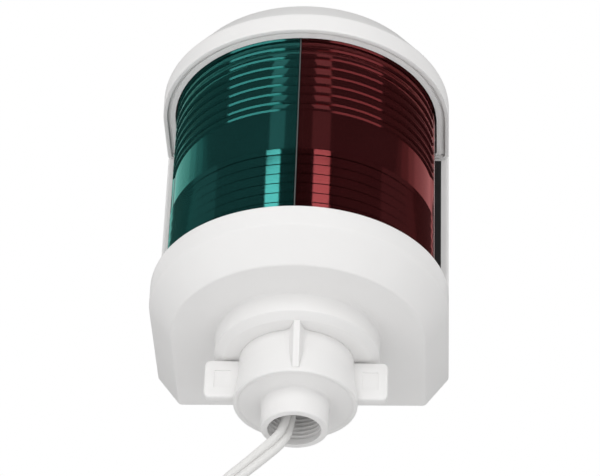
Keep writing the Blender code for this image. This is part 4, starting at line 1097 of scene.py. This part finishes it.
LEAD_RADIUS = 0.9 * MM
LEAD_ARRIVAL = 11.8                # millimetres from the bulb's centre to where a lead meets its contact


def leads(brown, blue):
    """The two insulated wires from the cable's end to the contacts."""
    centre = BULB_CENTRE / MM
    for name, side, level, material, slot in (
            ("lead_wire_positive", 1, centre - LEAD_ARRIVAL, brown, "lead_brown"),
            ("lead_wire_negative", -1, centre + LEAD_ARRIVAL, blue, "lead_blue")):
        route = [Vector((side * x, y, z)) * MM for x, y, z in (
            (1.35, 0.0, 24.5), (1.5, 0.5, 29.7), (5.0, 3.5, 36.7), (11.0, 7.5, 42.7), (13.4, 8.4, 50.7),
            (13.3, 8.5, (48.2 + level) / 2), (13.2, 8.6, level - 2.5), (11.9, 8.6, level - 0.2),
            (9.8, 8.6, level))]
        lead = sweep("insulated_" + name, smooth_route(route, 1.2 * MM), arc(LEAD_RADIUS, 0, 345, 15),
                     Vector((1, 0, 0)), material)
        give(lead, "lamp", slot, name)


def repaint(node, material):
    """Give a CAD node that keeps its own shape a procedural material."""
    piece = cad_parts[node]
    for place in range(len(piece.material_slots)):
        piece.material_slots[place].material = material


def build():
    """Make everything, cable first, each piece with its material."""
    add_camera()
    white = moulded("white_abs", (0.87, 0.862, 0.855), 0.38, grain=0.10, grain_size=0.35 * MM, mottle=0.02)
    black = moulded("black_abs", (0.012, 0.012, 0.013), 0.5, grain=0.2)
    rubber = moulded("gasket_rubber", (0.02, 0.02, 0.02), 0.8, grain=0.3)
    steel = moulded("stainless", (0.62, 0.61, 0.59), 0.28, metallic=1.0, grain_size=0.1 * MM)
    brass = moulded("sprung_brass", (0.68, 0.48, 0.20), 0.3, metallic=1.0, grain_size=0.1 * MM, mottle=0.12)
    nickel = moulded("nickel", (0.70, 0.68, 0.65), 0.22, metallic=1.0, grain_size=0.1 * MM)
    tungsten = moulded("tungsten", (0.22, 0.21, 0.20), 0.4, metallic=1.0)
    tin = moulded("tinned_strands", (0.70, 0.68, 0.64), 0.3, metallic=1.0)
    sheath = moulded("pvc_sheath", (0.80, 0.795, 0.78), 0.36, grain=0.15, grain_size=0.8 * MM, mottle=0.05)
    brown = moulded("brown_pvc", (0.13, 0.05, 0.02), 0.4)
    blue = moulded("blue_pvc", (0.02, 0.07, 0.28), 0.4)
    seam = moulded("seam_edge", (0.09, 0.10, 0.10), 0.4)
    green = tinted_lens("green_acrylic", (0.03, 0.17, 0.16), (0.16, 1.0, 0.84))
    red = tinted_lens("red_acrylic", (0.14, 0.026, 0.028), (1.0, 0.17, 0.17))
    glass = clear_glass("bulb_envelope")

    add_cable(sheath, tin, black)
    mounting_adaptor(white)
    cable_grommet(rubber)
    base_tray(white)
    lock_nut(black)
    back_plate(white)
    lens_half("green_half", -1, green, "lens_green", "green_lens")
    lens_half("red_half", 1, red, "lens_red", "red_lens")
    sector_divider(seam, black)
    top_cap(white)
    seals(rubber)
    screws(steel)
    bulb(glass, nickel, tungsten)
    leads(brown, blue)
    repaint("inner_screen", black)
    repaint("lamp_holder", black)
    repaint("contact_upper", brass)
    repaint("contact_lower", brass)
    add_lights()
    add_world()
    add_floor()


build()
